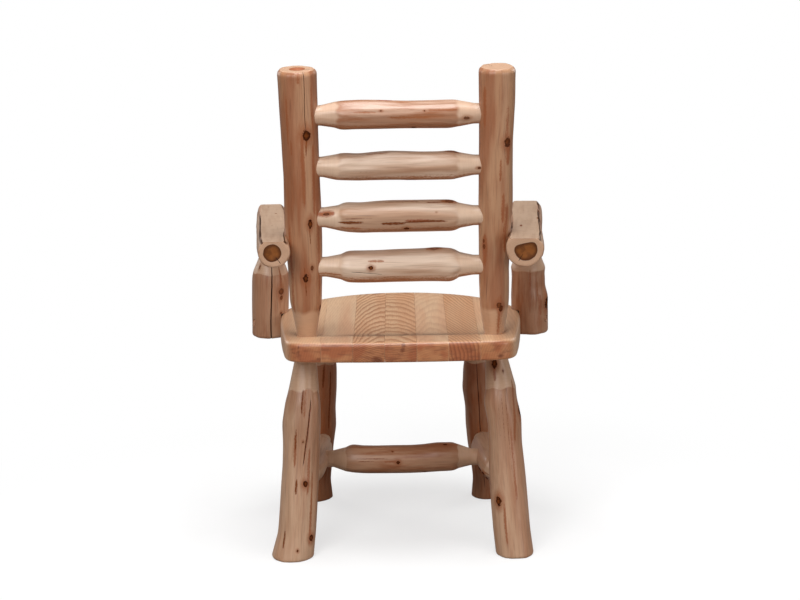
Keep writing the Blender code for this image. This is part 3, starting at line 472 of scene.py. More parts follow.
class Skin:
    """The fine surface of one log, laid from its low end to its high end."""

    def __init__(self, name, seed, along, ends, creases=(0, 0), scallop=0, round_size=0, **cuts):
        self.solid = Solid(name, along)
        self.ends = ends
        self.creases = creases
        self.scallop = scallop
        self.round_size = round_size
        self.hole = cuts.get("hole", HOLE_WIDTH)
        self.notch = cuts.get("notch", 0)
        self.flat = cuts.get("flat", False)
        self.seed = seed
        self.length = self.solid.high - self.solid.low
        self.marks = []
        self.read()

    def tip(self, end, turn, reach):
        """Local height of an end's plane."""
        if self.ends[end] == "level":
            return self.solid.level_height(turn, reach, end)
        return np.full(np.shape(turn), (self.solid.low, self.solid.high)[end])

    def near_reach(self, end, inset):
        """The girth a little way in from an end."""
        solid = self.solid
        reach = np.full(READ_COLUMNS, np.median([solid.cast(0, turn) for turn in solid.turns]))
        for _ in range(AXIS_ROUNDS):
            heights = self.tip(end, solid.turns, reach) + inset
            reach = np.array([solid.cast(*place) for place in zip(heights, solid.turns)])
            reach = np.maximum(reach, np.median(reach) / 2)
            reach = slow_waves(reach[None, :], FLAT_WAVES)[0]
        return reach

    def read(self):
        """Read the girth between the ends and the machined cones' wide ends."""
        solid = self.solid
        turns = solid.turns
        stops = []
        for end, way in ((0, 1), (1, -1)):
            inset = self.round_size if self.ends[end] != "tenon" else 0
            reach = self.near_reach(end, way * (inset + READ_STEP))
            edge = self.tip(end, turns, reach) + way * (inset + READ_MARGIN)
            pair = [edge, edge + way * self.creases[end]] if self.creases[end] else [edge]
            stops += pair[::way]
        self.body = 1 if self.creases[0] else 0
        self.stretches = []
        for number, (start, stop) in enumerate(zip(stops, stops[1:])):
            count = max(int((stop - start).mean() / READ_STEP), LEAST_ROWS)
            heights = start + (stop - start) * np.linspace(0, 1, count)[:, None]
            rows = np.array([[solid.cast(*place) for place in zip(row, turns)] for row in heights])
            if number == self.body:
                rows = self.mended(rows)
            self.stretches.append((start, stop, slow_waves(rows, KEPT_WAVES)))
        if self.flat:
            self.read_flat()

    def mended(self, rows):
        """The body's rows with mortises, notches and flats filled by their surroundings."""
        filled = closed(rows, round(self.hole / READ_STEP))
        rows = np.where(filled - rows > HOLE_DEPTH, filled, rows)
        if self.notch:
            full = round(self.notch / READ_STEP)
            rows[:full] = np.where(rows[full] - rows[:full] > HOLE_DEPTH, rows[full], rows[:full])
        if self.flat:
            table = wave_table(self.solid.turns, FLAT_WAVES)
            for row in rows:
                cut = row * np.cos(self.solid.turns) > row[0] - HOLE_DEPTH
                fit = np.linalg.lstsq(table[~cut], row[~cut], rcond=None)[0]
                row[cut] = (table @ fit)[cut]
        return blurred(slow_waves(rows, KEPT_WAVES), READ_BLUR / READ_STEP)

    def read_flat(self):
        """The flat top's height over the axis, as a straight line along the log."""
        heights = np.linspace(self.solid.low, self.solid.high, READ_COLUMNS)[2:-2]
        reaches = np.array([self.solid.cast(height, 0) for height in heights])
        seen = reaches > np.median(reaches) - HOLE_DEPTH * 3
        self.flat_line = np.polyfit(heights[seen], reaches[seen], 1)

    def guides(self, heights):
        """Turns that columns follow: cracks, and the edges of a flat top."""
        found = []
        for mark in self.marks:
            if mark.kind == "crack":
                found.append((mark.turn, mark.turn + mark.path(heights), mark.size))
        if self.flat:
            start, stop, rows = self.stretches[self.body]
            shares = np.clip((heights - start.mean()) / (stop - start).mean(), 0, 1) * (len(rows) - 1)
            tops = np.polyval(self.flat_line, heights)
            half = READ_COLUMNS // 2
            for way in (1, -1):
                columns = (way * np.arange(half)) % READ_COLUMNS
                edge = []
                for share, top in zip(shares, tops):
                    row = rows[int(share)][columns]
                    over = row * np.cos(self.solid.turns[:half]) - top
                    place = np.argmax(over < 0)
                    part = over[place - 1] / (over[place - 1] - over[place])
                    edge.append(way * (place - 1 + part) * FULL_TURN / READ_COLUMNS)
                edge = blurred(np.array(edge)[:, None], FLAT_BLUR_ROWS)[:, 0]
                found.append((float(edge.mean()), edge, FLAT_EDGE))
        return found

    def side(self):
        """Turns, heights, girth and bark distance of the side's rows."""
        solid = self.solid
        girth = np.mean([rows.mean() for _, _, rows in self.stretches]) * FULL_TURN
        base = circle(int(girth / COLUMN_STEP))
        radius = girth / FULL_TURN
        middle = np.linspace(solid.low, solid.high, PATH_POINTS)
        guides = self.guides(middle)
        for anchor, _, half_width in guides:
            gap = np.abs(wrapped(base - anchor)) * radius
            base = base[gap > GUIDE_SHARES[-1] * half_width + GUIDE_CLEARANCE]
        extra = [anchor + share * half / radius for anchor, _, half in guides for share in GUIDE_SHARES]
        base = np.sort(np.concatenate((base, extra)) % FULL_TURN)
        turns, heights, radii, bark = [], [], [], []
        for number, (start, stop, rows) in enumerate(self.stretches):
            steps = max(int((stop - start).mean() / ROW_STEP), LEAST_STEPS)
            shares = np.linspace(0, 1, steps + 1)[1 if number else 0 :]
            first, last = (round_interp(base, solid.turns, edge) for edge in (start, stop))
            if number > 0:
                first = first + self.scallop * ripple(base, number, self.seed, SCALLOP_TURNS, 1)
            if number < len(self.stretches) - 1:
                last = last + self.scallop * ripple(base, number + 1, self.seed, SCALLOP_TURNS, 1)
            height = first + (last - first) * shares[:, None]
            turn = np.broadcast_to(base, height.shape).copy()
            for anchor, path, _ in guides:
                shift = np.interp(height, middle, path) - anchor
                turn += shift * np.exp(-((wrapped(base - anchor) / FULL_TURN / GUIDE_SPREAD_SHARE) ** 2) / 2)
            pairs = zip(turn, between(rows, shares))
            radii.append(np.array([round_interp(row, solid.turns, values) for row, values in pairs]))
            inner = np.full(height.shape, self.length)
            if number != self.body:
                inner = height - last if number < self.body else first - height
            else:
                if self.creases[0]:
                    inner = np.minimum(inner, height - first)
                if self.creases[1]:
                    inner = np.minimum(inner, last - height)
            turns.append(turn)
            heights.append(height)
            bark.append(inner)
        return [np.concatenate(pieces) for pieces in (turns, heights, radii, bark)]


def wrapped(turn):
    """A turn brought between minus and plus half a turn."""
    return (turn + math.pi) % FULL_TURN - math.pi


def round_interp(turn, known_turns, values):
    """A value round a log at some turns."""
    return np.interp(turn, known_turns, values, period=FULL_TURN)


class Mark:
    """Something on a log's surface: a knot, a crack, a stain, a streak or a glow, an orange patch that on
    the slats' undersides is painted shade.
    """

    def __init__(
        self, kind, along_share, turn_share, size_share, stretch_share, strength_share=1, lean_share=0
    ):
        self.kind = kind
        self.along_share = along_share
        self.turn = turn_share * FULL_TURN
        self.size_share = size_share
        self.stretch_share = stretch_share
        self.strength = strength_share
        self.lean = lean_share

    def settle(self, skin):
        """Find the mark's height and size on its log."""
        self.height = skin.solid.low + skin.length * self.along_share
        self.radius = skin.stretches[skin.body][2].mean()
        self.size = self.size_share * self.radius
        self.stretch = self.size * self.stretch_share

    def path(self, height):
        """How far the mark's middle line turns aside at each height."""
        drift = self.lean * np.clip(height - self.height, -self.stretch, self.stretch)
        if self.kind in ("crack", "streak"):
            seed = round(self.along_share * MARK_SEEDS)
            drift = drift + CRACK_WANDER * ripple(0, height, seed, (0, 0), CRACK_LENGTH, CRACK_WAVES_ADDED)
        return drift / self.radius

    def reach(self, turn, height):
        """Distances across and along, as shares of the mark's own size."""
        aside = wrapped(turn - self.turn - self.path(height)) * self.radius
        return aside / self.size, (height - self.height) / self.stretch


def natural(skin, side):
    """Apply the natural relief and the marks; returns the rows and the fields for the finish."""
    turn, height, radius, bark = side
    relief = FLUTE * ripple(turn, height, skin.seed + 1, FLUTE_TURNS, FLUTE_LENGTH)
    relief += PEEL * ripple(turn, height, skin.seed + 2, PEEL_TURNS, PEEL_LENGTH, PEEL_WAVES_ADDED)
    fields = {name: np.zeros(turn.shape) for name in ("deep", *COVER_NAMES)}
    fields["bark"] = bark.copy()
    fields["knot"] = np.full(turn.shape, NO_KNOT_SHARE)
    bend = np.zeros(turn.shape)
    for mark in skin.marks:
        across, along = mark.reach(turn, height)
        far = np.hypot(across, along)
        if mark.kind == "knot":
            star = (np.abs(across) ** KNOT_POWER + np.abs(along) ** KNOT_POWER) ** (1 / KNOT_POWER)
            nearer = star < fields["knot"]
            fields["knot"] = np.where(nearer, star, fields["knot"])
            fields["deep"] = np.where(nearer, mark.strength, fields["deep"])
            relief += mark.size * KNOT_LIFT_SHARE * np.exp(-((far / KNOT_LIFT_REACH_SHARE) ** 2))
            relief -= mark.size * KNOT_DIP_SHARE * np.exp(-((far / KNOT_DIP_REACH_SHARE) ** 2))
            bend -= across * mark.size * KNOT_BEND_SHARE / (far**2 + 1)
        elif mark.kind == "crack":
            taper = ease((1 - np.abs(along)) * CRACK_TAPER_SHARE)
            inside = np.clip(1 - np.abs(across), 0, 1) * taper
            fields["crack"] = np.maximum(fields["crack"], inside * mark.strength)
            relief -= mark.size * CRACK_DEPTH_SHARE * inside
        else:
            width = np.sqrt(np.clip(1 - along**2, 0, 1)) + COVER_TIP_SHARE
            taper = ease((1 - np.abs(along)) * COVER_TAPER_SHARE)
            inside = np.clip(1 - np.abs(across) / width, 0, 1) * taper
            fields[mark.kind] = np.maximum(fields[mark.kind], inside * mark.strength)
    around = radius.mean()
    flow = turn + bend / np.maximum(radius, around / 2)
    fields["grain"] = np.stack((around * np.cos(flow), around * np.sin(flow), height + skin.seed), -1)
    return (turn, height, radius + relief * ease(bark / EASE_LENGTH)), fields


def capped(skin, rows, fields):
    """Add the rounded edges and the sawn or tenoned ends; returns how many rows are sawn faces."""
    turn, height, radius = (list(part) for part in rows)
    fields = {name: list(values) for name, values in fields.items()}
    sawn = [0, 0]
    for end in (0, 1):
        way = 1 if end else -1
        edge_turn, edge_height, edge_radius = turn[-end], height[-end], radius[-end]
        rim = skin.round_size if skin.ends[end] != "tenon" else 0
        wander = ripple(edge_turn, end, skin.seed + 3, RIM_TURNS, 1, RIM_WAVES_ADDED)
        rim = rim * (1 + RIM_WANDER_SHARE * wander)
        new = []
        if rim.any():
            slack = np.abs(skin.tip(end, edge_turn, edge_radius) - edge_height)
            for angle in ROUND_ANGLES:
                reach = edge_radius - rim * (1 - math.cos(angle))
                new.append((skin.tip(end, edge_turn, reach) - way * slack * (1 - math.sin(angle)), reach))
        inner = new[-1][1] if new else edge_radius
        rings = CAP_RINGS if new else 2
        for step in range(1, rings):
            reach = inner * (1 - step / rings)
            dish = (way * inner * FACE_DISH_SHARE * ease(step / rings)) if new else 0
            new.append((skin.tip(end, edge_turn, reach) - dish, reach))
        for tip, reach in new:
            place = len(turn) if end else 0
            turn.insert(place, edge_turn)
            height.insert(place, tip)
            radius.insert(place, reach)
            for values in fields.values():
                values.insert(place, values[-1] if end else values[0])
        if len(new) > ROUND_STEPS:
            sawn[end] = len(new) - ROUND_STEPS * 2 // 3
    arrays = [np.array(part) for part in (turn, height, radius)]
    return arrays, {name: np.array(values) for name, values in fields.items()}, sawn


def placed(name, data):
    """A new object in the scene."""
    made = bpy.data.objects.new(name, data)
    bpy.context.scene.collection.objects.link(made)
    return made


def meshed(name, points, faces):
    """A new mesh."""
    mesh = bpy.data.meshes.new(name)
    mesh.from_pydata(points, [], faces)
    return mesh


def ring_faces(count, columns):
    """The faces between stacked rings of points, and the numbers of the first and last ring."""
    index = np.arange(count * columns).reshape(count, columns)
    following = np.roll(index, -1, 1)
    quads = np.stack((index[:-1], following[:-1], following[1:], index[1:]), -1).reshape(-1, 4)
    return quads.tolist(), index[0].tolist(), index[-1].tolist()


def fanned(count, columns):
    """The faces of stacked rings, closed by a fan round one more point at each end."""
    faces, first, last = ring_faces(count, columns)
    ends = count * columns
    faces += [(b, a, ends) for a, b in zip(first, first[1:] + first[:1])]
    return faces + [(a, b, ends + 1) for a, b in zip(last, last[1:] + last[:1])]


def block(name, points, count):
    """A closed object of stacked rings, with a plain face at each end."""
    faces, first, last = ring_faces(count, len(points) // count)
    return placed(name, meshed(name, points, faces + [first[::-1], last]))


def with_fields(mesh, fields):
    """Store named values on a mesh's vertices."""
    for name, values in fields.items():
        values = values.reshape(len(mesh.vertices), -1)
        vector = values.shape[1] == 3
        layer = mesh.attributes.new(name, "FLOAT_VECTOR" if vector else "FLOAT", "POINT")
        layer.data.foreach_set("vector" if vector else "value", values.ravel())


def log_mesh(skin, look, end_look):
    """Build one log as an object."""
    solid = skin.solid
    for mark in skin.marks:
        mark.settle(skin)
    rows, fields = natural(skin, skin.side())
    (turn, height, radius), fields, sawn = capped(skin, rows, fields)
    local = np.stack((radius * np.cos(turn), radius * np.sin(turn), height), -1)
    if skin.flat:
        top = np.polyval(skin.flat_line, local[..., 2])
        edge = np.arccos(np.clip(top / np.maximum(radius, top), -1, 1))
        fields["flat"] = (edge - np.abs(wrapped(turn))) * radius
        local[..., 0] = np.minimum(local[..., 0], top)
    count, columns = turn.shape
    points = np.concatenate((local.reshape(-1, 3), [local[0].mean(0), local[-1].mean(0)]))
    fields = {name: values.reshape(count * columns, -1) for name, values in fields.items()}
    fields = {name: np.concatenate((values, values[:1], values[-1:])) for name, values in fields.items()}
    fields["spot"] = points
    fields["heart"] = np.broadcast_to(np.array(skin.heart), points.shape)
    fields["tint"] = np.full(len(points), skin.tint)
    world = points @ np.array(solid.matrix.to_3x3()).T + np.array(solid.matrix.translation)
    world = np.clip(world, *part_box(solid.name))
    mesh = meshed(solid.name + "_skin", world.tolist(), fanned(count, columns))
    mesh.shade_smooth()
    mesh.materials.append(look)
    mesh.materials.append(end_look)
    row = np.repeat(np.arange(count - 1), columns)
    row = np.concatenate((row, np.zeros(columns, int), np.full(columns, count)))
    slots = (row < sawn[0]) | (row >= count - 1 - sawn[1])
    if not sawn[0]:
        fan = (count - 1) * columns
        slots[fan : fan + columns] = False
    mesh.polygons.foreach_set("material_index", slots.astype(int))
    with_fields(mesh, fields)
    return placed(mesh.name, mesh)


def dressed(piece, nodes):
    """Hang a new piece on the frame in place of its CAD nodes."""
    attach(piece, BODY)
    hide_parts(*nodes)


# Materials


def linear(colour):
    """A colour as it is seen, for a shader."""
    return (*(((part + SEEN_OFFSET) / (1 + SEEN_OFFSET)) ** SEEN_POWER for part in colour), 1)


def is_socket(value):
    """Whether a value comes out of a node."""
    return isinstance(value, bpy.types.NodeSocket)


class Paint:
    """A material under construction, with short calls for its nodes."""

    def __init__(self, name):
        self.material = bpy.data.materials.new(name)
        self.material.use_nodes = True
        self.tree = self.material.node_tree
        self.shader = self.tree.nodes["Principled BSDF"]

    def feed(self, node, *values):
        """Link or set some inputs of a node, each given by its place and value."""
        for place, value in values:
            if is_socket(value):
                self.tree.links.new(value, node.inputs[place])
            else:
                node.inputs[place].default_value = value

    def node(self, kind, *values):
        """A new node with some inputs fed."""
        node = self.tree.nodes.new("ShaderNode" + kind)
        self.feed(node, *values)
        return node

    def field(self, name, output="Fac"):
        """A value that the mesh keeps."""
        node = self.node("Attribute")
        node.attribute_name = name
        return node.outputs[output]

    def sum(self, operation, *values):
        """One step of arithmetic."""
        node = self.node("Math", *enumerate(values))
        node.operation = operation
        return node.outputs[0]

    def chain(self, operation, first, *others):
        """The same arithmetic over a row of values."""
        for other in others:
            first = self.sum(operation, first, other)
        return first

    def times(self, *values):
        """The product of some values."""
        return self.chain("MULTIPLY", *values)

    def plus(self, *values):
        """Some values together."""
        return self.chain("ADD", *values)

    def centred(self, noise, spread):
        """A noise spread round zero."""
        return self.sum("MULTIPLY_ADD", noise, spread, -spread / 2)

    def parts(self, vector):
        """A vector's X, Y and Z."""
        return self.node("SeparateXYZ", (0, vector)).outputs

    def off_axis(self, x, y):
        """Distance from the Z axis."""
        return self.sum("SQRT", self.plus(self.times(x, x), self.times(y, y)))

    def pattern(self, vector, name):
        """A noise, drawn out as the table says."""
        stretch_shares, scale, octaves, rough_share = PATTERNS[name]
        drawn = self.node("VectorMath", (0, vector), (1, stretch_shares))
        drawn.operation = "MULTIPLY"
        values = (("Scale", scale), ("Detail", octaves), ("Roughness", rough_share))
        return self.node("TexNoise", ("Vector", drawn.outputs[0]), *values).outputs["Fac"]

    def step(self, value, low, high, most=1):
        """A smooth rise from 0 at the low value to the most at the high value."""
        limits = (("From Min", low), ("From Max", high), ("To Max", most))
        node = self.node("MapRange", ("Value", value), *limits)
        node.interpolation_type = "SMOOTHSTEP"
        return node.outputs["Result"]

    def lay(self, base, tone, *shares):
        """A base with a tone laid over it, by the product of some shares."""
        node = self.node("Mix")
        node.data_type = "RGBA"
        values = [value if is_socket(value) else linear(value) for value in (base, tone)]
        self.feed(node, ("Factor", self.times(*shares)), *zip(COLOUR_SOCKETS, values))
        return node.outputs[COLOUR_RESULT]

    def bump(self, height, strength_share=1):
        """The surface's finest relief."""
        values = (("Distance", FIBRE_RELIEF), ("Strength", strength_share), ("Height", height))
        self.feed(self.shader, ("Normal", self.node("Bump", *values).outputs["Normal"]))

    def finish(self, colour, roughness, coat=COAT):
        """Feed the shader and return the material."""
        self.feed(self.shader, ("Base Color", colour), ("Roughness", roughness))
        self.feed(self.shader, ("Coat Weight", coat), ("Coat Roughness", COAT_ROUGHNESS))
        return self.material


def planed_top(wood, grain, colour, brown, streak, vein, core):
    """The planed top of an arm and the ragged bark beside it, as a colour and the bark's share."""
    plane = wood.field("flat")
    planed = wood.lay(FLAT_PALE, FLAT_TAN, wood.step(streak, *FLAT_STREAK_SHARES))
    planed = wood.lay(planed, FLAT_TAN, wood.step(wood.pattern(grain, "chatter"), *CHATTER_SHARES))
    planed = wood.lay(planed, brown, wood.step(vein, *FLAT_VEIN_SHARES))
    planed = wood.lay(planed, KNOT_BROWN, core, FLAT_KNOT_SHARE)
    planed = wood.lay(planed, KNOT_BROWN, wood.step(wood.field("stain"), *FLAT_STAIN_SHARES))
    colour = wood.lay(colour, planed, wood.step(plane, 0, CREASE_SOFTNESS))
    rim = wood.times(
        wood.step(plane, -BARK_EDGE, -BARK_EDGE / 3),
        wood.step(plane, CREASE_SOFTNESS, 0),
        wood.step(wood.pattern(grain, "bark"), *BARK_SHARES),
    )
    return wood.lay(colour, BARK_DARK, rim), rim


def log_wood(name, tones, softness=CREASE_SOFTNESS, flat=False):
    """Lacquered peeled log: streaks, knots, stains and cracks, orange glows that are painted shade on the
    slats' undersides, its paler machined ends, and a painted highlight on their lip.
    """
    wood = Paint(name)
    pale, rosy, orange, brown = tones
    grain = wood.field("grain", "Vector")
    bark, tint, knot, deep = (wood.field(field) for field in ("bark", "tint", "knot", "deep"))
    names = ("patch", "blotch", "streak", "fibre", "vein", "turned", "ragged")
    patch, blotch, streak, fibre, vein, turned, ragged = (wood.pattern(grain, name) for name in names)
    colour = wood.lay(pale, rosy, wood.step(patch, *ROSY_SHARES))
    colour = wood.lay(colour, orange, wood.step(blotch, *WARM_SHARES), tint)
    colour = wood.lay(colour, orange, tint, TINT_SHARE)
    colour = wood.lay(colour, orange, wood.step(streak, *RICH_SHARES), tint)
    colour = wood.lay(colour, brown, wood.step(fibre, *FIBRE_SHARES))
    colour = wood.lay(colour, DARK_VEIN, wood.step(vein, *VEIN_SHARES))

    machined = wood.lay(pale, orange, wood.step(streak, *MACHINED_RICH_SHARES))
    machined = wood.lay(machined, MACHINED_PALE, MACHINED_SHARE)
    machined = wood.lay(machined, orange, tint, MACHINED_TINT_SHARE)
    machined = wood.lay(machined, brown, wood.step(turned, *TURNED_SHARES))
    on_bark = wood.step(bark, 0, softness)
    colour = wood.lay(machined, colour, on_bark)
    # Painted highlight: a pale band on the lip where the bark side meets the machined cone.
    colour = wood.lay(colour, MACHINED_PALE, on_bark, wood.step(bark, LIP_HIGHLIGHT_WIDTH, LIP_HIGHLIGHT_WIDTH / 3), LIP_HIGHLIGHT_SHARE)

    jitter = wood.plus(wood.centred(fibre, FIBRE_JITTER_SHARE), wood.centred(ragged, RAGGED_JITTER_SHARE))
    covers = []
    # Glows lay orange: real patches and knot halos, and painted shade on the slats' undersides.
    kinds = (
        ("glow", orange, GLOW_AND_SHADE_SHARE),
        ("stain", STAIN, STAIN_SHARE),
        ("streak", STREAK_DARK, STREAK_SHARE),
    )
    for kind, tone, most_share in kinds:
        level = wood.field(kind)
        level = wood.plus(level, wood.times(jitter, wood.step(level, 0, JITTER_RISE_SHARE)))
        covers.append(wood.step(level, *COVER_SHARES, most_share))
        colour = wood.lay(colour, tone, covers[-1])
    uneven = wood.plus(knot, wood.centred(ragged, KNOT_EDGE_SHARE))
    core = wood.times(wood.step(uneven, *KNOT_CORE_SHARES), deep)
    colour = wood.lay(colour, orange, wood.step(uneven, *KNOT_HALO_SHARES), deep)
    colour = wood.lay(colour, wood.lay(KNOT_BROWN, KNOT_DARK, wood.step(uneven, *KNOT_TONE_SHARES)), core)
    dark = covers[1:] + [core]
    if flat:
        colour, rim = planed_top(wood, grain, colour, brown, streak, vein, core)
        dark.append(rim)
    dark.append(wood.step(wood.field("crack"), *CRACK_SHARES))
    colour = wood.lay(colour, CRACK_DARK, dark[-1])
    dull = wood.chain("MAXIMUM", *dark)
    wood.feed(wood.shader, ("Specular IOR Level", wood.sum("MULTIPLY_ADD", dull, -SHINE, SHINE)))
    wood.bump(wood.times(wood.plus(wood.times(fibre, FIBRE_RELIEF_SHARE), streak), on_bark))
    rough = wood.sum("MULTIPLY_ADD", patch, LOG_PATCH_ROUGHNESS, LOG_ROUGHNESS)
    return wood.finish(colour, rough, wood.sum("MULTIPLY_ADD", dull, -COAT, COAT))


def end_grain(name, heart_dark, heart_brown):
    """A sawn end: yearly rings, a dark heart and fine checks."""
    wood = Paint(name)
    spot = wood.field("spot", "Vector")
    x, y, _ = wood.parts(spot)
    size, top, check = wood.parts(wood.field("heart", "Vector"))
    wobble, fine = (wood.pattern(spot, pattern) for pattern in ("wobble", "fine"))
    far = wood.plus(wood.off_axis(x, y), wood.centred(wobble, RING_WOBBLE))
    rings = wood.sum("SINE", wood.times(far, FULL_TURN / YEAR_RING))
    colour = wood.lay(END_PALE, END_TAN, wood.step(rings, *RING_SHARES))
    colour = wood.lay(colour, END_TAN, wood.step(fine, *FINE_SHARES))
    over = wood.sum("SUBTRACT", wood.sum("MULTIPLY_ADD", y, -HEART_TILT_SHARE, x), top)
    inside = wood.sum("SMOOTH_MAX", wood.sum("SUBTRACT", far, size), over, HEART_CORNER)
    heart = wood.lay(heart_brown, heart_dark, wood.step(rings, *HEART_RING_SHARES))
    heart = wood.lay(heart, heart_dark, wood.step(wobble, *HEART_PATCH_SHARES))
    heart = wood.lay(heart, heart_dark, wood.step(inside, -HEART_RIM, 0, HEART_RIM_SHARE))
    colour = wood.lay(colour, heart, wood.step(inside, HEART_EDGE, -HEART_EDGE))
    cosine = wood.sum("COSINE", check)
    sine = wood.sum("SINE", check)
    outward = wood.plus(wood.times(x, cosine), wood.times(y, sine))
    aside = wood.sum("SUBTRACT", wood.times(y, cosine), wood.times(x, sine))
    aside = wood.plus(wood.sum("ABSOLUTE", aside), wood.centred(fine, CHECK_WANDER))
    split = (
        wood.step(aside, CHECK_EDGE, CHECK_CORE),
        wood.step(outward, *CHECK_START),
        wood.step(far, CHECK_REACH + CHECK_FADE, CHECK_REACH),
    )
    colour = wood.lay(colour, CRACK_DARK, *split)
    wood.feed(wood.shader, ("Specular IOR Level", SHINE / 3))
    wood.bump(wood.plus(fine, rings), END_RELIEF_SHARE)
    return wood.finish(colour, END_ROUGHNESS, END_COAT)


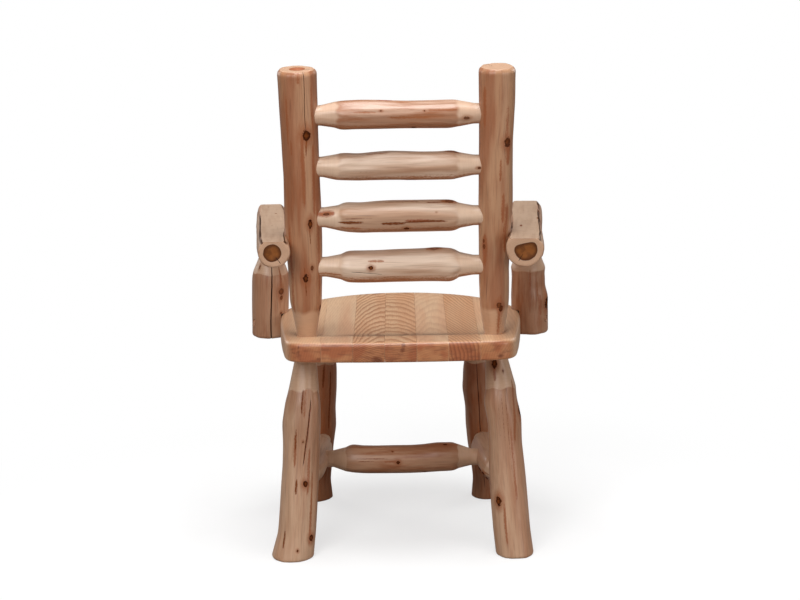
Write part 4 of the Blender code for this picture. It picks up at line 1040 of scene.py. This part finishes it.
# The marks of each log, by kind: share of the length, share of a turn, size as a share of the
# girth's radius, stretch and, where they aren't 1 and 0, strength and lean. Turn 0 faces the
# rear, or up on an arm.
MARK_SHARES = {
    "back_post_left": {
        "crack": ((0.9, 0.064, 0.022, 80),),
        "knot": (
            (0.782, 0.066, 0.2, 1.6), (0.468, 0.075, 0.13, 2), (0.307, 0.08, 0.09, 1.5, 0.8),
            (0.272, 0.014, 0.16, 1.5), (0.149, 0.18, 0.09, 2.2, 0.9),
        ),
        "streak": (
            (0.748, 0.063, 0.055, 13, 0.9), (0.438, 0.07, 0.04, 22, 0.9), (0.262, 0.012, 0.06, 18, 0.9),
        ),
        "glow": (
            (0.975, 0.012, 0.16, 1.8, 0.8), (0.66, 0.028, 0.18, 14, 0.9), (0.62, 0.126, 0.16, 16),
            (0.83, -0.1, 0.14, 12, 0.8), (0.86, 0.13, 0.14, 12, 0.8), (0.4, 0.165, 0.22, 18, 0.9),
            (0.3, -0.13, 0.2, 16, 0.8), (0.74, -0.07, 0.08, 7, 0.9),
        ),
    },
    "back_post_right": {
        "knot": (
            (0.747, 0.1, 0.2, 1.4, 0.9), (0.392, -0.133, 0.08, 1.6, 0.7), (0.371, -0.127, 0.11, 1.6, 0.7),
            (0.16, 0.046, 0.15, 1.3, 0.8), (0.146, 0.072, 0.15, 1.4, 0.9),
        ),
        "glow": (
            (0.715, 0.112, 0.28, 3.6), (0.36, -0.12, 0.3, 4), (0.12, 0.06, 0.36, 4.5, 0.7),
            (0.516, 0.07, 0.22, 5, 0.9), (0.44, 0.11, 0.26, 7), (0.87, -0.118, 0.18, 8, 0.9),
            (0.79, 0.1, 0.2, 9, 0.7), (0.65, 0.036, 0.14, 6, 0.8),
        ),
        "streak": ((0.69, 0.01, 0.03, 26, 0.5),),
    },
    "back_slat_4": {
        "stain": ((0.431, -0.23, 0.22, 3.2),),
        "knot": (
            (0.415, -0.054, 0.055, 1.6, 0.9), (0.641, -0.051, 0.05, 1.4), (0.858, 0.047, 0.14, 1.5, 0.8),
            (0.585, 0.19, 0.1, 1.8),
        ),
        # The wide glows at about 0.19 of a turn lie on the slat's underside: painted shade, a darker orange
        # lower band.
        "glow": (
            (0.3, 0.19, 0.75, 6), (0.68, 0.195, 0.75, 6), (0.56, 0.02, 0.2, 9, 0.8),
            (0.73, -0.06, 0.16, 8, 0.8), (0.33, -0.04, 0.12, 8, 0.7),
        ),
    },
    "back_slat_3": {
        "knot": ((0.785, -0.215, 0.2, 2, 0.45), (0.565, 0.205, 0.16, 1.9), (0.925, 0.034, 0.1, 1.3)),
        # The wide glows at about 0.19 of a turn lie on the slat's underside: painted shade, a darker orange
        # lower band.
        "glow": (
            (0.785, -0.215, 0.3, 2.2), (0.27, 0.195, 0.75, 6), (0.66, 0.19, 0.78, 7),
            (0.395, -0.18, 0.2, 5, 0.7),
        ),
        "streak": ((0.336, 0.051, 0.05, 14, 0.6), (0.3, 0.15, 0.05, 30, 0.6)),
    },
    "back_slat_2": {
        "stain": ((0.108, -0.085, 0.5, 1.5), (0.6, 0.022, 0.16, 6)),
        "knot": (
            (0.112, -0.075, 0.12, 1.7, 0.9), (0.769, -0.206, 0.18, 1.6, 0.55), (0.54, 0.12, 0.11, 1.6),
            (0.7, -0.06, 0.04, 1.3, 0.6),
        ),
        "streak": (
            (0.295, -0.004, 0.035, 55, 0.8), (0.245, 0.036, 0.15, 6.5), (0.47, 0.05, 0.16, 6),
            (0.64, 0.034, 0.13, 13), (0.52, -0.196, 0.06, 22), (0.72, -0.18, 0.07, 16),
        ),
        # The wide glows at about 0.19 of a turn lie on the slat's underside: painted shade, a darker orange
        # lower band.
        "glow": (
            (0.769, -0.206, 0.28, 2.2), (0.24, 0.1, 0.14, 6, 0.9), (0.62, 0.185, 0.78, 8),
            (0.26, 0.19, 0.7, 6),
        ),
    },
    "back_slat_1": {
        "knot": ((0.346, -0.011, 0.12, 1.2), (0.688, -0.22, 0.18, 1.7, 0.45)),
        # The wide glows at about 0.18 of a turn lie on the slat's underside: painted shade, a darker orange
        # lower band.
        "glow": (
            (0.374, -0.082, 0.14, 4.5, 0.9), (0.688, -0.22, 0.28, 2.2), (0.4, 0.185, 0.8, 8),
            (0.76, 0.18, 0.75, 6), (0.12, 0.08, 0.2, 5, 0.8),
        ),
        "crack": ((0.322, 0.046, 0.018, 60, 1, 0.1),),
    },
    "rear_leg_left": {
        "streak": (
            (0.705, -0.008, 0.08, 10), (0.537, -0.045, 0.08, 9, 0.9), (0.331, -0.02, 0.1, 5),
            (0.098, -0.11, 0.1, 6, 0.9),
        ),
        "crack": ((0.57, 0.056, 0.028, 72, 1, 0.08),),
        "glow": (
            (0.57, 0.056, 0.11, 18, 1, 0.08), (0.4, 0.085, 0.13, 12), (0.49, -0.05, 0.15, 7),
            (0.24, 0.13, 0.12, 20), (0.7, 0.02, 0.16, 6, 0.7),
        ),
        "knot": (
            (0.53, 0.019, 0.05, 1.3, 0.7), (0.346, 0.061, 0.14, 1.2), (0.108, 0.146, 0.13, 1.4),
            (0.053, 0.016, 0.05, 1.3, 0.9),
        ),
    },
    "rear_leg_right": {
        "knot": (
            (0.862, -0.054, 0.21, 1.3), (0.826, 0.049, 0.05, 1.6, 0.9), (0.64, 0.215, 0.17, 1.7),
            (0.258, -0.106, 0.17, 1.6),
        ),
        "glow": (
            (0.815, -0.058, 0.18, 2.6), (0.65, 0.12, 0.18, 12, 1, 0.1), (0.16, -0.055, 0.12, 12, 0.9),
            (0.42, 0.06, 0.14, 18, 0.7),
        ),
        "streak": ((0.62, 0, 0.04, 60, 0.55), (0.56, 0.036, 0.04, 70, 0.5), (0.6, -0.04, 0.035, 60, 0.5)),
    },
    "front_leg_left": {
        "streak": ((0.56, 0.115, 0.1, 26), (0.69, 0.03, 0.12, 8, 0.9)),
        "glow": ((0.66, 0.045, 0.3, 5), (0.35, 0.06, 0.3, 8)),
        "knot": ((0.2, 0.09, 0.16, 1.5),),
    },
    "front_leg_right": {
        "crack": ((0.42, -0.034, 0.026, 190),),
        "glow": ((0.33, -0.13, 0.26, 10), (0.56, 0.06, 0.2, 10, 0.8)),
        "knot": ((0.195, -0.062, 0.14, 1.5),),
    },
    "cross_stretcher": {
        "knot": (
            (0.475, 0.006, 0.13, 1.1), (0.443, -0.124, 0.055, 1.2, 0.9), (0.755, -0.213, 0.09, 1.8, 0.9),
            (0.634, 0.15, 0.08, 1.8, 0.8),
        ),
        "glow": ((0.43, -0.004, 0.12, 4.5),),
        "streak": ((0.32, -0.04, 0.045, 34, 0.7), (0.3, -0.012, 0.035, 24, 0.6)),
    },
    "arm_left": {
        "knot": (
            (0.921, -0.039, 0.05, 1.5, 0.8), (0.734, 0.038, 0.07, 2, 0.8), (0.412, 0.001, 0.05, 1.4, 0.6),
            (0.56, -0.3, 0.16, 1.6),
        ),
    },
    "arm_right": {
        "stain": ((0.321, -0.049, 0.13, 2.2),),
        "knot": ((0.516, 0.14, 0.14, 2), (0.734, 0.15, 0.1, 2.2), (0.3, 0.32, 0.15, 1.7)),
    },
    "arm_support_left": {
        "crack": ((0.33, 0.02, 0.04, 75),),
        "knot": (
            (0.419, 0.104, 0.15, 1.5, 0.75), (0.362, 0.105, 0.08, 1.3, 0.75), (0.23, 0.107, 0.05, 1.4, 0.8),
            (0.623, -0.114, 0.06, 1.6, 0.8),
        ),
        "glow": ((0.545, 0.1, 0.1, 7),),
    },
    "arm_support_right": {
        "knot": ((0.266, 0.19, 0.22, 1.7),),
        "glow": ((0.262, 0.1, 0.16, 4.5), (0.38, 0.08, 0.1, 7, 0.8), (0.486, 0.005, 0.12, 6, 0.7)),
    },
}

# What the logs of a family share: which way they run, their low and high ends, how long the
# machined cones are there and how far the cones' edges wander, how round the sawn edges are,
# and how long the holes and the notch are that their girth is read past
TENONED = ("tenon", "tenon")
STANDING = ("level", "tenon")
POST = {
    "along": UP,
    "ends": ("tenon", "sawn"),
    "creases": (0.076, 0),
    "scallop": 0.0015,
    "round_size": 0.010,
}
SLAT = {"along": RIGHT, "ends": TENONED, "creases": (0.066, 0.066), "scallop": 0.0020}
LEG = {"along": UP, "ends": STANDING, "creases": (0, 0.116), "scallop": 0.0026, "round_size": 0.004}
SIDE_STRETCHER = {"along": FORWARDS, "ends": TENONED, "creases": (0.058, 0.058), "scallop": 0.0016}
CROSS_STRETCHER = {"along": RIGHT, "ends": TENONED, "creases": (0.060, 0.060), "scallop": 0.0016}
ARM = {"along": FORWARDS, "ends": ("sawn", "sawn"), "round_size": 0.004, "hole": 0.05, "flat": True}
SUPPORT = {
    "along": UP,
    "ends": STANDING,
    "creases": (0, 0.108),
    "scallop": 0.0016,
    "round_size": 0.006,
    "notch": 0.058,
}

# Each log's name, family, slot, how orange it is, and the dark heart of its ends: radius, upper
# edge, and the turn of the drying check
LOGS = (
    ("back_post_left", POST, "post_wood", 0.80, (0.016, 1, 1.2)),
    ("back_post_right", POST, "post_wood", 0.60, (0, 1, 4.1)),
    ("back_slat_1", SLAT, "slat_wood", 0.14, (0, 1, 0)),
    ("back_slat_2", SLAT, "slat_wood", 0.15, (0, 1, 0)),
    ("back_slat_3", SLAT, "slat_wood", 0.35, (0, 1, 0)),
    ("back_slat_4", SLAT, "slat_wood", 1.60, (0, 1, 0)),
    ("rear_leg_left", LEG, "leg_wood", 0.50, (0.012, 1, 0)),
    ("rear_leg_right", LEG, "leg_wood", 0.60, (0.012, 1, 0)),
    # The front legs' strong orange is partly their own darker wood and partly painted shade from the seat
    # above them.
    ("front_leg_left", LEG, "leg_wood", 2.40, (0.014, 1, 0)),
    ("front_leg_right", LEG, "leg_wood", 2.00, (0.014, 1, 0)),
    ("side_stretcher_left", SIDE_STRETCHER, "stretcher_wood", 0.50, (0, 1, 0)),
    ("side_stretcher_right", SIDE_STRETCHER, "stretcher_wood", 0.60, (0, 1, 0)),
    ("cross_stretcher", CROSS_STRETCHER, "stretcher_wood", 1.30, (0, 1, 0)),
    ("arm_left", ARM, "arm_wood", 0.35, (0.018, 1, 2.5)),
    ("arm_right", ARM, "arm_wood", 0.35, (0.023, 0.013, 3.7)),
    ("arm_support_left", SUPPORT, "support_wood", 1.00, (0.015, 1, 0)),
    ("arm_support_right", SUPPORT, "support_wood", 1.40, (0.015, 1, 0)),
)

# Knots, glows and streaks on the far sides, per log: where they lie and how large they are
SEED_STEP = 10
WILD_KNOTS = 5
WILD_TURN_SHARES = (0.28, 0.72)
WILD_ALONG_SHARES = (0.12, 0.85)
WILD_KNOT_SIZE_SHARES = (0.07, 0.17)
WILD_KNOT_SHARES = (1.5, 1)
WILD_GLOW_STRETCH_SHARES = (4, 12)
WILD_GLOW_ASIDE_SHARE = 0.02
WILD_GLOW_SIZE_SHARE = 0.2
WILD_GLOW_SHARE = 0.8
WILD_STREAK_ALONG_SHARES = (0.2, 0.8)
WILD_STREAK_STRETCH_SHARES = (10, 30)
WILD_STREAK_SIZE_SHARE = 0.05
WILD_STREAK_SHARE = 0.7


def wild_marks(seed):
    """A few knots and streaks on the far side of a log."""
    dice = np.random.default_rng(seed)
    marks = []
    for _ in range(WILD_KNOTS):
        along = dice.uniform(*WILD_ALONG_SHARES)
        turn = dice.uniform(*WILD_TURN_SHARES)
        marks.append(Mark("knot", along, turn, dice.uniform(*WILD_KNOT_SIZE_SHARES), *WILD_KNOT_SHARES))
        turn += WILD_GLOW_ASIDE_SHARE
        stretch = dice.uniform(*WILD_GLOW_STRETCH_SHARES)
        marks.append(Mark("glow", along, turn, WILD_GLOW_SIZE_SHARE, stretch, WILD_GLOW_SHARE))
        along = dice.uniform(*WILD_STREAK_ALONG_SHARES)
        turn = dice.uniform(*WILD_TURN_SHARES)
        stretch = dice.uniform(*WILD_STREAK_STRETCH_SHARES)
        marks.append(Mark("streak", along, turn, WILD_STREAK_SIZE_SHARE, stretch, WILD_STREAK_SHARE))
    return marks


def logs():
    """Every log of the chair."""
    looks = {
        "post_wood": log_wood("post_wood", POST_TONES, POST_SOFTNESS),
        "slat_wood": log_wood("slat_wood", SLAT_TONES, SLAT_SOFTNESS),
    }
    for slot in ("leg_wood", "stretcher_wood", "arm_wood", "support_wood"):
        looks[slot] = log_wood(slot, LEG_TONES, flat=slot == "arm_wood")
    top_end = end_grain("post_end", POST_ORANGE, POST_END)
    end = end_grain("log_end", HEART_DARK, HEART_BROWN)
    for number, (name, family, slot, tint, heart) in enumerate(LOGS):
        skin = Skin(name, number * SEED_STEP, **family)
        placed_marks = MARK_SHARES.get(name, {}).items()
        skin.marks = [Mark(kind, *row) for kind, rows in placed_marks for row in rows] + wild_marks(number)
        skin.tint = tint
        skin.heart = heart
        dressed(log_mesh(skin, looks[slot], top_end if name == "back_post_left" else end), [name])


# Seat


class SeatShape:
    """The seat's outline and its scooped top, read from the solid boards."""

    def __init__(self):
        boxes = [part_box(name) for name in SEAT_BOARDS]
        self.low = Vector([min(low[axis] for low, _ in boxes) for axis in range(3)])
        self.high = Vector([max(high[axis] for _, high in boxes) for axis in range(3)])
        self.middle = (self.low + self.high) / 2
        points, faces = [], []
        for name in SEAT_BOARDS:
            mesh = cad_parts[name].data
            faces += [[len(points) + index for index in face.vertices] for face in mesh.polygons]
            points += [vertex.co.copy() for vertex in mesh.vertices]
        self.tree = BVHTree.FromPolygons(points, faces)
        self.turns = circle(SEAT_COLUMNS)
        height = self.low.z + (self.high.z - self.low.z) * SEAT_EDGE_SHARE
        reach = (self.high - self.low).length
        edge = []
        for turn in self.turns:
            way = outwards(turn)
            start = Vector((self.middle.x, self.middle.y, height)) + way * reach
            edge.append(reach - self.tree.ray_cast(start, -way)[3])
        self.edge = slow_waves(np.array([edge]), SEAT_WAVES)[0]
        shares = np.linspace(0, 1, SEAT_RINGS)
        inner = self.edge - SEAT_TOP_ROUND - READ_MARGIN
        tops = [[self.top(turn, reach) for reach in far * shares] for turn, far in zip(self.turns, inner)]
        self.tops = blurred(slow_waves(np.array(tops).T, SEAT_WAVES), SEAT_BLUR_ROWS)

    def top(self, turn, reach):
        """Height of the top at one place; mortises are skipped by looking a little further in."""
        while True:
            place = self.middle + outwards(turn) * reach
            place.z = self.high.z + SEAT_TOP_ROUND
            hit = self.tree.ray_cast(place, -UP)[0]
            if hit is not None and hit.z > self.high.z - SCOOP_LIMIT:
                return hit.z
            reach -= READ_STEP

    def rings(self, turns):
        """Reaches and heights of the whole surface's rings, from the top's middle round to below."""
        edge = round_interp(turns, self.turns, self.edge)
        columns = np.array([round_interp(turns, self.turns, row) for row in self.tops])
        rows = []
        shares = np.linspace(0, 1, SEAT_FINE_RINGS)[1:]
        for share, heights in zip(shares, between(columns, shares)):
            rows.append(((edge - SEAT_TOP_ROUND) * share, heights))
        brim = rows[-1][1]
        for angle in ROUND_ANGLES:
            fall = SEAT_TOP_ROUND * (1 - math.cos(angle))
            rows.append((edge - SEAT_TOP_ROUND * (1 - math.sin(angle)), brim - fall))
        start = brim - SEAT_TOP_ROUND
        stop = self.low.z + SEAT_BOTTOM_ROUND
        for share in np.arange(1, ROUND_STEPS + 1) / ROUND_STEPS:
            rows.append((edge, start + (stop - start) * share))
        for angle in ROUND_ANGLES:
            fall = SEAT_BOTTOM_ROUND * math.sin(angle)
            rows.append((edge - SEAT_BOTTOM_ROUND * (1 - math.cos(angle)), stop - fall))
        for share in np.linspace(1, 0, ROUND_STEPS * 2)[1:-1]:
            rows.append(((edge - SEAT_BOTTOM_ROUND) * share, np.full(len(turns), self.low.z)))
        return rows

    def whole(self):
        """The whole seat as one closed mesh."""
        turns = circle(SEAT_FINE_COLUMNS)
        rows = self.rings(turns)
        points = []
        for reach, height in rows:
            x = np.clip(self.middle.x + reach * np.cos(turns), self.low.x, self.high.x)
            y = np.clip(self.middle.y + reach * np.sin(turns), self.low.y, self.high.y)
            points += np.column_stack((x, y, np.broadcast_to(height, turns.shape))).tolist()
        points += [(self.middle.x, self.middle.y, height) for height in (self.tops[0].mean(), self.low.z)]
        return meshed("seat", points, [face[::-1] for face in fanned(len(rows), SEAT_FINE_COLUMNS)])


# Each seat board's grain: how far its rings show, how orange it is, and where the tree's middle
# lies: aside in board widths, how it slants, how deep below in board widths, and how it dips
# towards the front. Last, how wide its yearly rings are.
BOARD_SHARES = (
    (0.30, 0.25, 2.6, 0.10, 0.9, 0.00, 1.4),
    (0.22, 0.00, 3.0, 0.16, 1.2, 0.00, 1.6),
    (1.00, 0.40, 0.50, 0.00, 1.85, 0.080, 1.0),
    (0.85, 0.50, -0.40, 0.00, 4.50, 0.080, 1.0),
    (0.28, 0.10, 0.05, 0.02, 1.30, 0.060, 1.2),
    (1.00, 0.55, -3.0, -0.33, 0.8, 0.00, 2.2),
    (0.30, 0.25, 1.8, -0.10, 1.2, 0.03, 1.4),
)

# Knots on the seat's rear edge: share of the half width, share of the thickness, size as a share
# of the thickness, and stretch
SEAT_KNOT_SHARES = (
    (-0.185, 0.18, 0.10, 1.5),
    (-0.165, 0.14, 0.09, 1.2),
    (0.020, 0.62, 0.06, 1.2),
    (0.028, 0.88, 0.06, 1.0),
    (-0.800, 0.55, 0.07, 0.6),
    (-0.795, 0.80, 0.05, 0.6),
    (0.790, 0.22, 0.06, 1.6),
    (-0.640, 0.20, 0.05, 1.2),
)


def board_fields(shape, number, mesh):
    """What the seat's finish needs on each vertex of a board."""
    contrast, tint, aside, slant, depth, dip, spread = BOARD_SHARES[number]
    points = corners(mesh)
    normals = np.array([vertex.normal for vertex in mesh.vertices])
    low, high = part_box(SEAT_BOARDS[number])
    width = (shape.high.x - shape.low.x) * BOARD_WIDTH_SHARE
    centre = (low.x + high.x) / 2
    from_rear = points[:, 1] - shape.low.y
    across = points[:, 0] - centre - aside * width - slant * from_rear
    down = depth * width + dip * from_rear - (shape.high.z - points[:, 2])
    thickness = shape.high.z - shape.low.z
    knot = np.full(len(points), NO_KNOT_SHARE)
    for x_share, z_share, size, stretch in SEAT_KNOT_SHARES:
        x = (points[:, 0] - x_share * (shape.high.x - shape.middle.x)) / (size * thickness * stretch)
        z = (points[:, 2] - shape.low.z - z_share * thickness) / (size * thickness)
        y = from_rear / thickness
        knot = np.minimum(knot, np.sqrt(x**2 + z**2 + y**2))
    return {
        "ring": np.hypot(across, down) / spread,
        "contrast": np.full(len(points), contrast),
        "tint": np.full(len(points), tint),
        "end": ease((np.abs(normals[:, 1]) - END_START_SHARE) / END_SPAN_SHARE),
        "knot": knot,
        "grain": points + [number, 0, 0],
    }


def seat_wood():
    """Lacquered softwood boards: yearly rings cut by the scoop, and end grain at the edges."""
    wood = Paint("seat_wood")
    grain = wood.field("grain", "Vector")
    fields = ("ring", "contrast", "tint", "end", "knot")
    ring, contrast, tint, end, knot = (wood.field(name) for name in fields)
    names = ("seat patch", "seat wander", "seat fibre", "seat pores")
    patch, wander, fibre, pores = (wood.pattern(grain, name) for name in names)
    shift = wood.times(fibre, SEAT_WANDER * FIBRE_WANDER_SHARE)
    ring = wood.plus(ring, wood.centred(wander, SEAT_WANDER), shift)
    phase = wood.sum("FRACT", wood.sum("DIVIDE", ring, SEAT_RING))
    late = wood.times(wood.step(phase, *LATE_RISE_SHARES), wood.step(phase, *LATE_FALL_SHARES), contrast)
    colour = wood.lay(SEAT_PALE, SEAT_ROSY, wood.step(patch, *SEAT_ROSY_SHARES))
    colour = wood.lay(colour, SEAT_WARM, tint, SEAT_TINT_SHARE)
    colour = wood.lay(colour, SEAT_LATE, wood.step(fibre, *SEAT_FIBRE_SHARES))
    colour = wood.lay(colour, SEAT_LATE, late, SEAT_LATE_SHARE)
    crossed = wood.lay(SEAT_END, SEAT_END_WARM, wood.step(patch, *SEAT_END_WARM_SHARES))
    crossed = wood.lay(crossed, SEAT_END_WARM, tint, SEAT_TINT_SHARE)
    crossed = wood.lay(crossed, SEAT_END_DARK, late, SEAT_END_LATE_SHARE)
    crossed = wood.lay(crossed, SEAT_END_DARK, wood.step(pores, *SEAT_PORE_SHARES))
    colour = wood.lay(colour, crossed, end, SEAT_END_SHARE)
    uneven = wood.plus(knot, wood.centred(wander, SEAT_KNOT_EDGE_SHARE))
    colour = wood.lay(colour, SEAT_END_DARK, wood.step(uneven, *SEAT_HALO_SHARES))
    colour = wood.lay(colour, KNOT_BROWN, wood.step(uneven, *SEAT_CORE_SHARES))
    wood.bump(wood.plus(fibre, late), SEAT_RELIEF_SHARE)
    return wood.finish(colour, wood.sum("MULTIPLY_ADD", patch, SEAT_PATCH_ROUGHNESS, SEAT_ROUGHNESS))


def seat(shape):
    """Seven boards, parted from one scooped shape."""
    whole = shape.whole()
    look = seat_wood()
    for number, name in enumerate(SEAT_BOARDS):
        low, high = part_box(name)
        cut = bmesh.new()
        cut.from_mesh(whole)
        for x, way in ((low.x, 1), (high.x, -1)):
            plane = {"plane_co": (x, 0, 0), "plane_no": (-way, 0, 0), "clear_outer": True}
            bmesh.ops.bisect_plane(cut, geom=cut.verts[:] + cut.edges[:] + cut.faces[:], **plane)
            open_edges = [edge for edge in cut.edges if edge.is_boundary]
            if open_edges:
                bmesh.ops.holes_fill(cut, edges=open_edges, sides=0)
        mesh = bpy.data.meshes.new(name + "_fine")
        cut.to_mesh(mesh)
        cut.free()
        mesh.shade_smooth()
        mesh.set_sharp_from_angle(angle=SHARP_ANGLE)
        mesh.materials.append(look)
        with_fields(mesh, board_fields(shape, number, mesh))
        dressed(placed(mesh.name, mesh), [name])
    bpy.data.meshes.remove(whole)


# Plugs, screws and cuts


def cylinder(name, start, along, radius, length, rounding=0):
    """A closed round rod, with its edges rounded if asked."""
    profile = [(0, radius), (length, radius)]
    if rounding:
        inner = radius - rounding
        profile = [(0, inner), (rounding, radius), (length - rounding, radius), (length, inner)]
    across = along.orthogonal().normalized()
    aside = along.cross(across)
    points = []
    for reach, girth in profile:
        for turn in circle(ROD_SIDES):
            points.append(start + along * reach + (across * math.cos(turn) + aside * math.sin(turn)) * girth)
    return block(name, [tuple(point) for point in points], len(profile))


def carve(piece, cutter):
    """Cut one piece with another and keep the fields of the nearest old vertex."""
    old = piece.data
    names = [layer.name for layer in old.attributes if layer.domain == "POINT" and layer.name in FIELD_NAMES]
    tree = KDTree(len(old.vertices))
    for vertex in old.vertices:
        tree.insert(vertex.co, vertex.index)
    tree.balance()
    change = piece.modifiers.new("cut", "BOOLEAN")
    change.operation = "DIFFERENCE"
    change.solver = "EXACT"
    change.object = cutter
    graph = bpy.context.evaluated_depsgraph_get()
    new = bpy.data.meshes.new_from_object(piece.evaluated_get(graph))
    piece.modifiers.clear()
    nearest = [tree.find(vertex.co)[1] for vertex in new.vertices]
    for name in names:
        layer = old.attributes[name]
        word, width = ("vector", 3) if layer.data_type == "FLOAT_VECTOR" else ("value", 1)
        values = np.empty(len(old.vertices) * width)
        layer.data.foreach_get(word, values)
        if name in new.attributes:
            new.attributes.remove(new.attributes[name])
        fresh = new.attributes.new(name, layer.data_type, "POINT")
        fresh.data.foreach_set(word, values.reshape(-1, width)[nearest].ravel())
    new.set_sharp_from_angle(angle=SHARP_ANGLE)
    piece.data = new
    bpy.data.meshes.remove(old)
    bpy.data.objects.remove(cutter)


def seat_block(shape):
    """The seat's outline, grown by the fit, as a block that cuts the supports' notches."""
    turns = circle(SEAT_FINE_COLUMNS)
    edge = round_interp(turns, shape.turns, shape.edge) + FIT
    x = shape.middle.x + edge * np.cos(turns)
    y = shape.middle.y + edge * np.sin(turns)
    points = []
    for height in (shape.low.z - SCOOP_LIMIT * 2, shape.high.z + FIT):
        points += np.column_stack((x, y, np.full(len(turns), height))).tolist()
    return block("seat_block", points, 2)


def plug_wood():
    """A face-grain plug: fine upright streaks."""
    wood = Paint("plug_wood")
    streak = wood.pattern(wood.field("grain", "Vector"), "plug")
    colour = wood.lay(PLUG_PALE, LEG_ORANGE, wood.step(streak, *PLUG_STREAK_SHARES))
    wood.bump(streak, PLUG_RELIEF_SHARE)
    return wood.finish(colour, END_ROUGHNESS, 0)


def steel():
    """Zinc-plated steel with a faint grain."""
    metal = Paint("screw_steel")
    brushed = metal.pattern(metal.node("TexCoord").outputs["Object"], "steel")
    metal.feed(metal.shader, ("Metallic", 1))
    return metal.finish(metal.lay(STEEL_DARK, STEEL_PALE, brushed), metal.step(brushed, *STEEL_SHARES), 0)


def fastenings(shape):
    """Plugs in their holes, the notches over the seat, and the screws' finish."""
    look = plug_wood()
    for side in ("left", "right"):
        carve(bpy.data.objects["arm_support_%s_skin" % side], seat_block(shape))
        for place in ("arm_%s", "support_%s_rear", "support_%s_front"):
            name = "plug_" + place % side
            low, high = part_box(name)
            way = 1 if high.x > 0 else -1
            radius = (high.z - low.z) / 2
            start = Vector((low.x if way > 0 else high.x, (low.y + high.y) / 2, (low.z + high.z) / 2))
            length = high.x - low.x
            hole = cylinder(name + "_hole", start, RIGHT * way, radius + FIT, length + HOLE_OVERRUN)
            host = "arm_%s_skin" if place.startswith("arm") else "arm_support_%s_skin"
            carve(bpy.data.objects[host % side], hole)
            made = cylinder(name + "_fine", start, RIGHT * way, radius, length, PLUG_ROUND)
            made.data.shade_smooth()
            made.data.set_sharp_from_angle(angle=SHARP_ANGLE)
            made.data.materials.append(look)
            with_fields(made.data, {"grain": corners(made.data)})
            dressed(made, [name])
    metal = steel()
    for name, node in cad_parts.items():
        if name.startswith("lag_screw"):
            node.data.materials.clear()
            node.data.materials.append(metal)


def lamp(name, place, target, energy, size):
    """A round lamp aimed at a point."""
    data = bpy.data.lights.new(name, "AREA")
    data.energy = energy
    data.shape = "DISK"
    data.size = size
    made = placed(name, data)
    made.location = place
    made.rotation_mode = "QUATERNION"
    made.rotation_quaternion = (Vector(target) - Vector(place)).to_track_quat("-Z", "Y")


def floor():
    """A pale floor that holds the shadow near the chair and turns pure white farther off."""
    ring = [tuple(outwards(turn) * FLOOR_REACH) for turn in circle(ROD_SIDES)]
    made = placed("floor", meshed("floor", ring, [list(range(ROD_SIDES))]))
    pale = Paint("floor")
    x, y, _ = pale.parts(pale.node("TexCoord").outputs["Object"])
    seen = pale.node("LightPath").outputs["Is Camera Ray"]
    pale.finish(pale.lay(FLOOR_GREY, FLOOR_WHITE, seen), FLOOR_ROUGHNESS, 0)
    away = pale.step(pale.off_axis(x, y), FLOOR_FADE, FLOOR_FADE * 2, 1 - FLOOR_GLOW_SHARE)
    glow = pale.node("Emission").outputs["Emission"]
    share = pale.times(pale.plus(away, FLOOR_GLOW_SHARE), seen)
    mix = pale.node("MixShader", ("Fac", share), (1, pale.shader.outputs["BSDF"]), (2, glow))
    pale.feed(pale.tree.nodes["Material Output"], ("Surface", mix.outputs["Shader"]))
    made.data.materials.append(pale.material)


def studio():
    """Camera, lamps, world and floor."""
    scene = bpy.context.scene
    data = bpy.data.cameras.new("camera")
    data.sensor_width = SENSOR_WIDTH
    data.lens = FOCAL_PIXELS * SENSOR_WIDTH / IMAGE_WIDTH
    camera = placed("camera", data)
    tilt = Matrix.Rotation(math.pi / 2 - CAMERA_DROP, 4, "X") @ Matrix.Rotation(CAMERA_ROLL, 4, "Z")
    camera.matrix_world = Matrix.Translation(CAMERA_PLACE) @ tilt
    scene.camera = camera
    for name, settings in LAMPS.items():
        lamp(name, *settings)
    world = bpy.data.worlds.new("studio")
    scene.world = world
    world.use_nodes = True
    tree = world.node_tree
    background = tree.nodes["Background"]
    background.inputs["Color"].default_value = (1, 1, 1, 1)
    path = tree.nodes.new("ShaderNodeLightPath")
    strength = tree.nodes.new("ShaderNodeMapRange")
    strength.inputs["To Min"].default_value = WORLD_LIGHT
    strength.inputs["To Max"].default_value = 1
    tree.links.new(path.outputs["Is Camera Ray"], strength.inputs["Value"])
    tree.links.new(strength.outputs["Result"], background.inputs["Strength"])
    scene.view_settings.view_transform = "Standard"
    floor()


logs()
seat_shape = SeatShape()
seat(seat_shape)
fastenings(seat_shape)
studio()
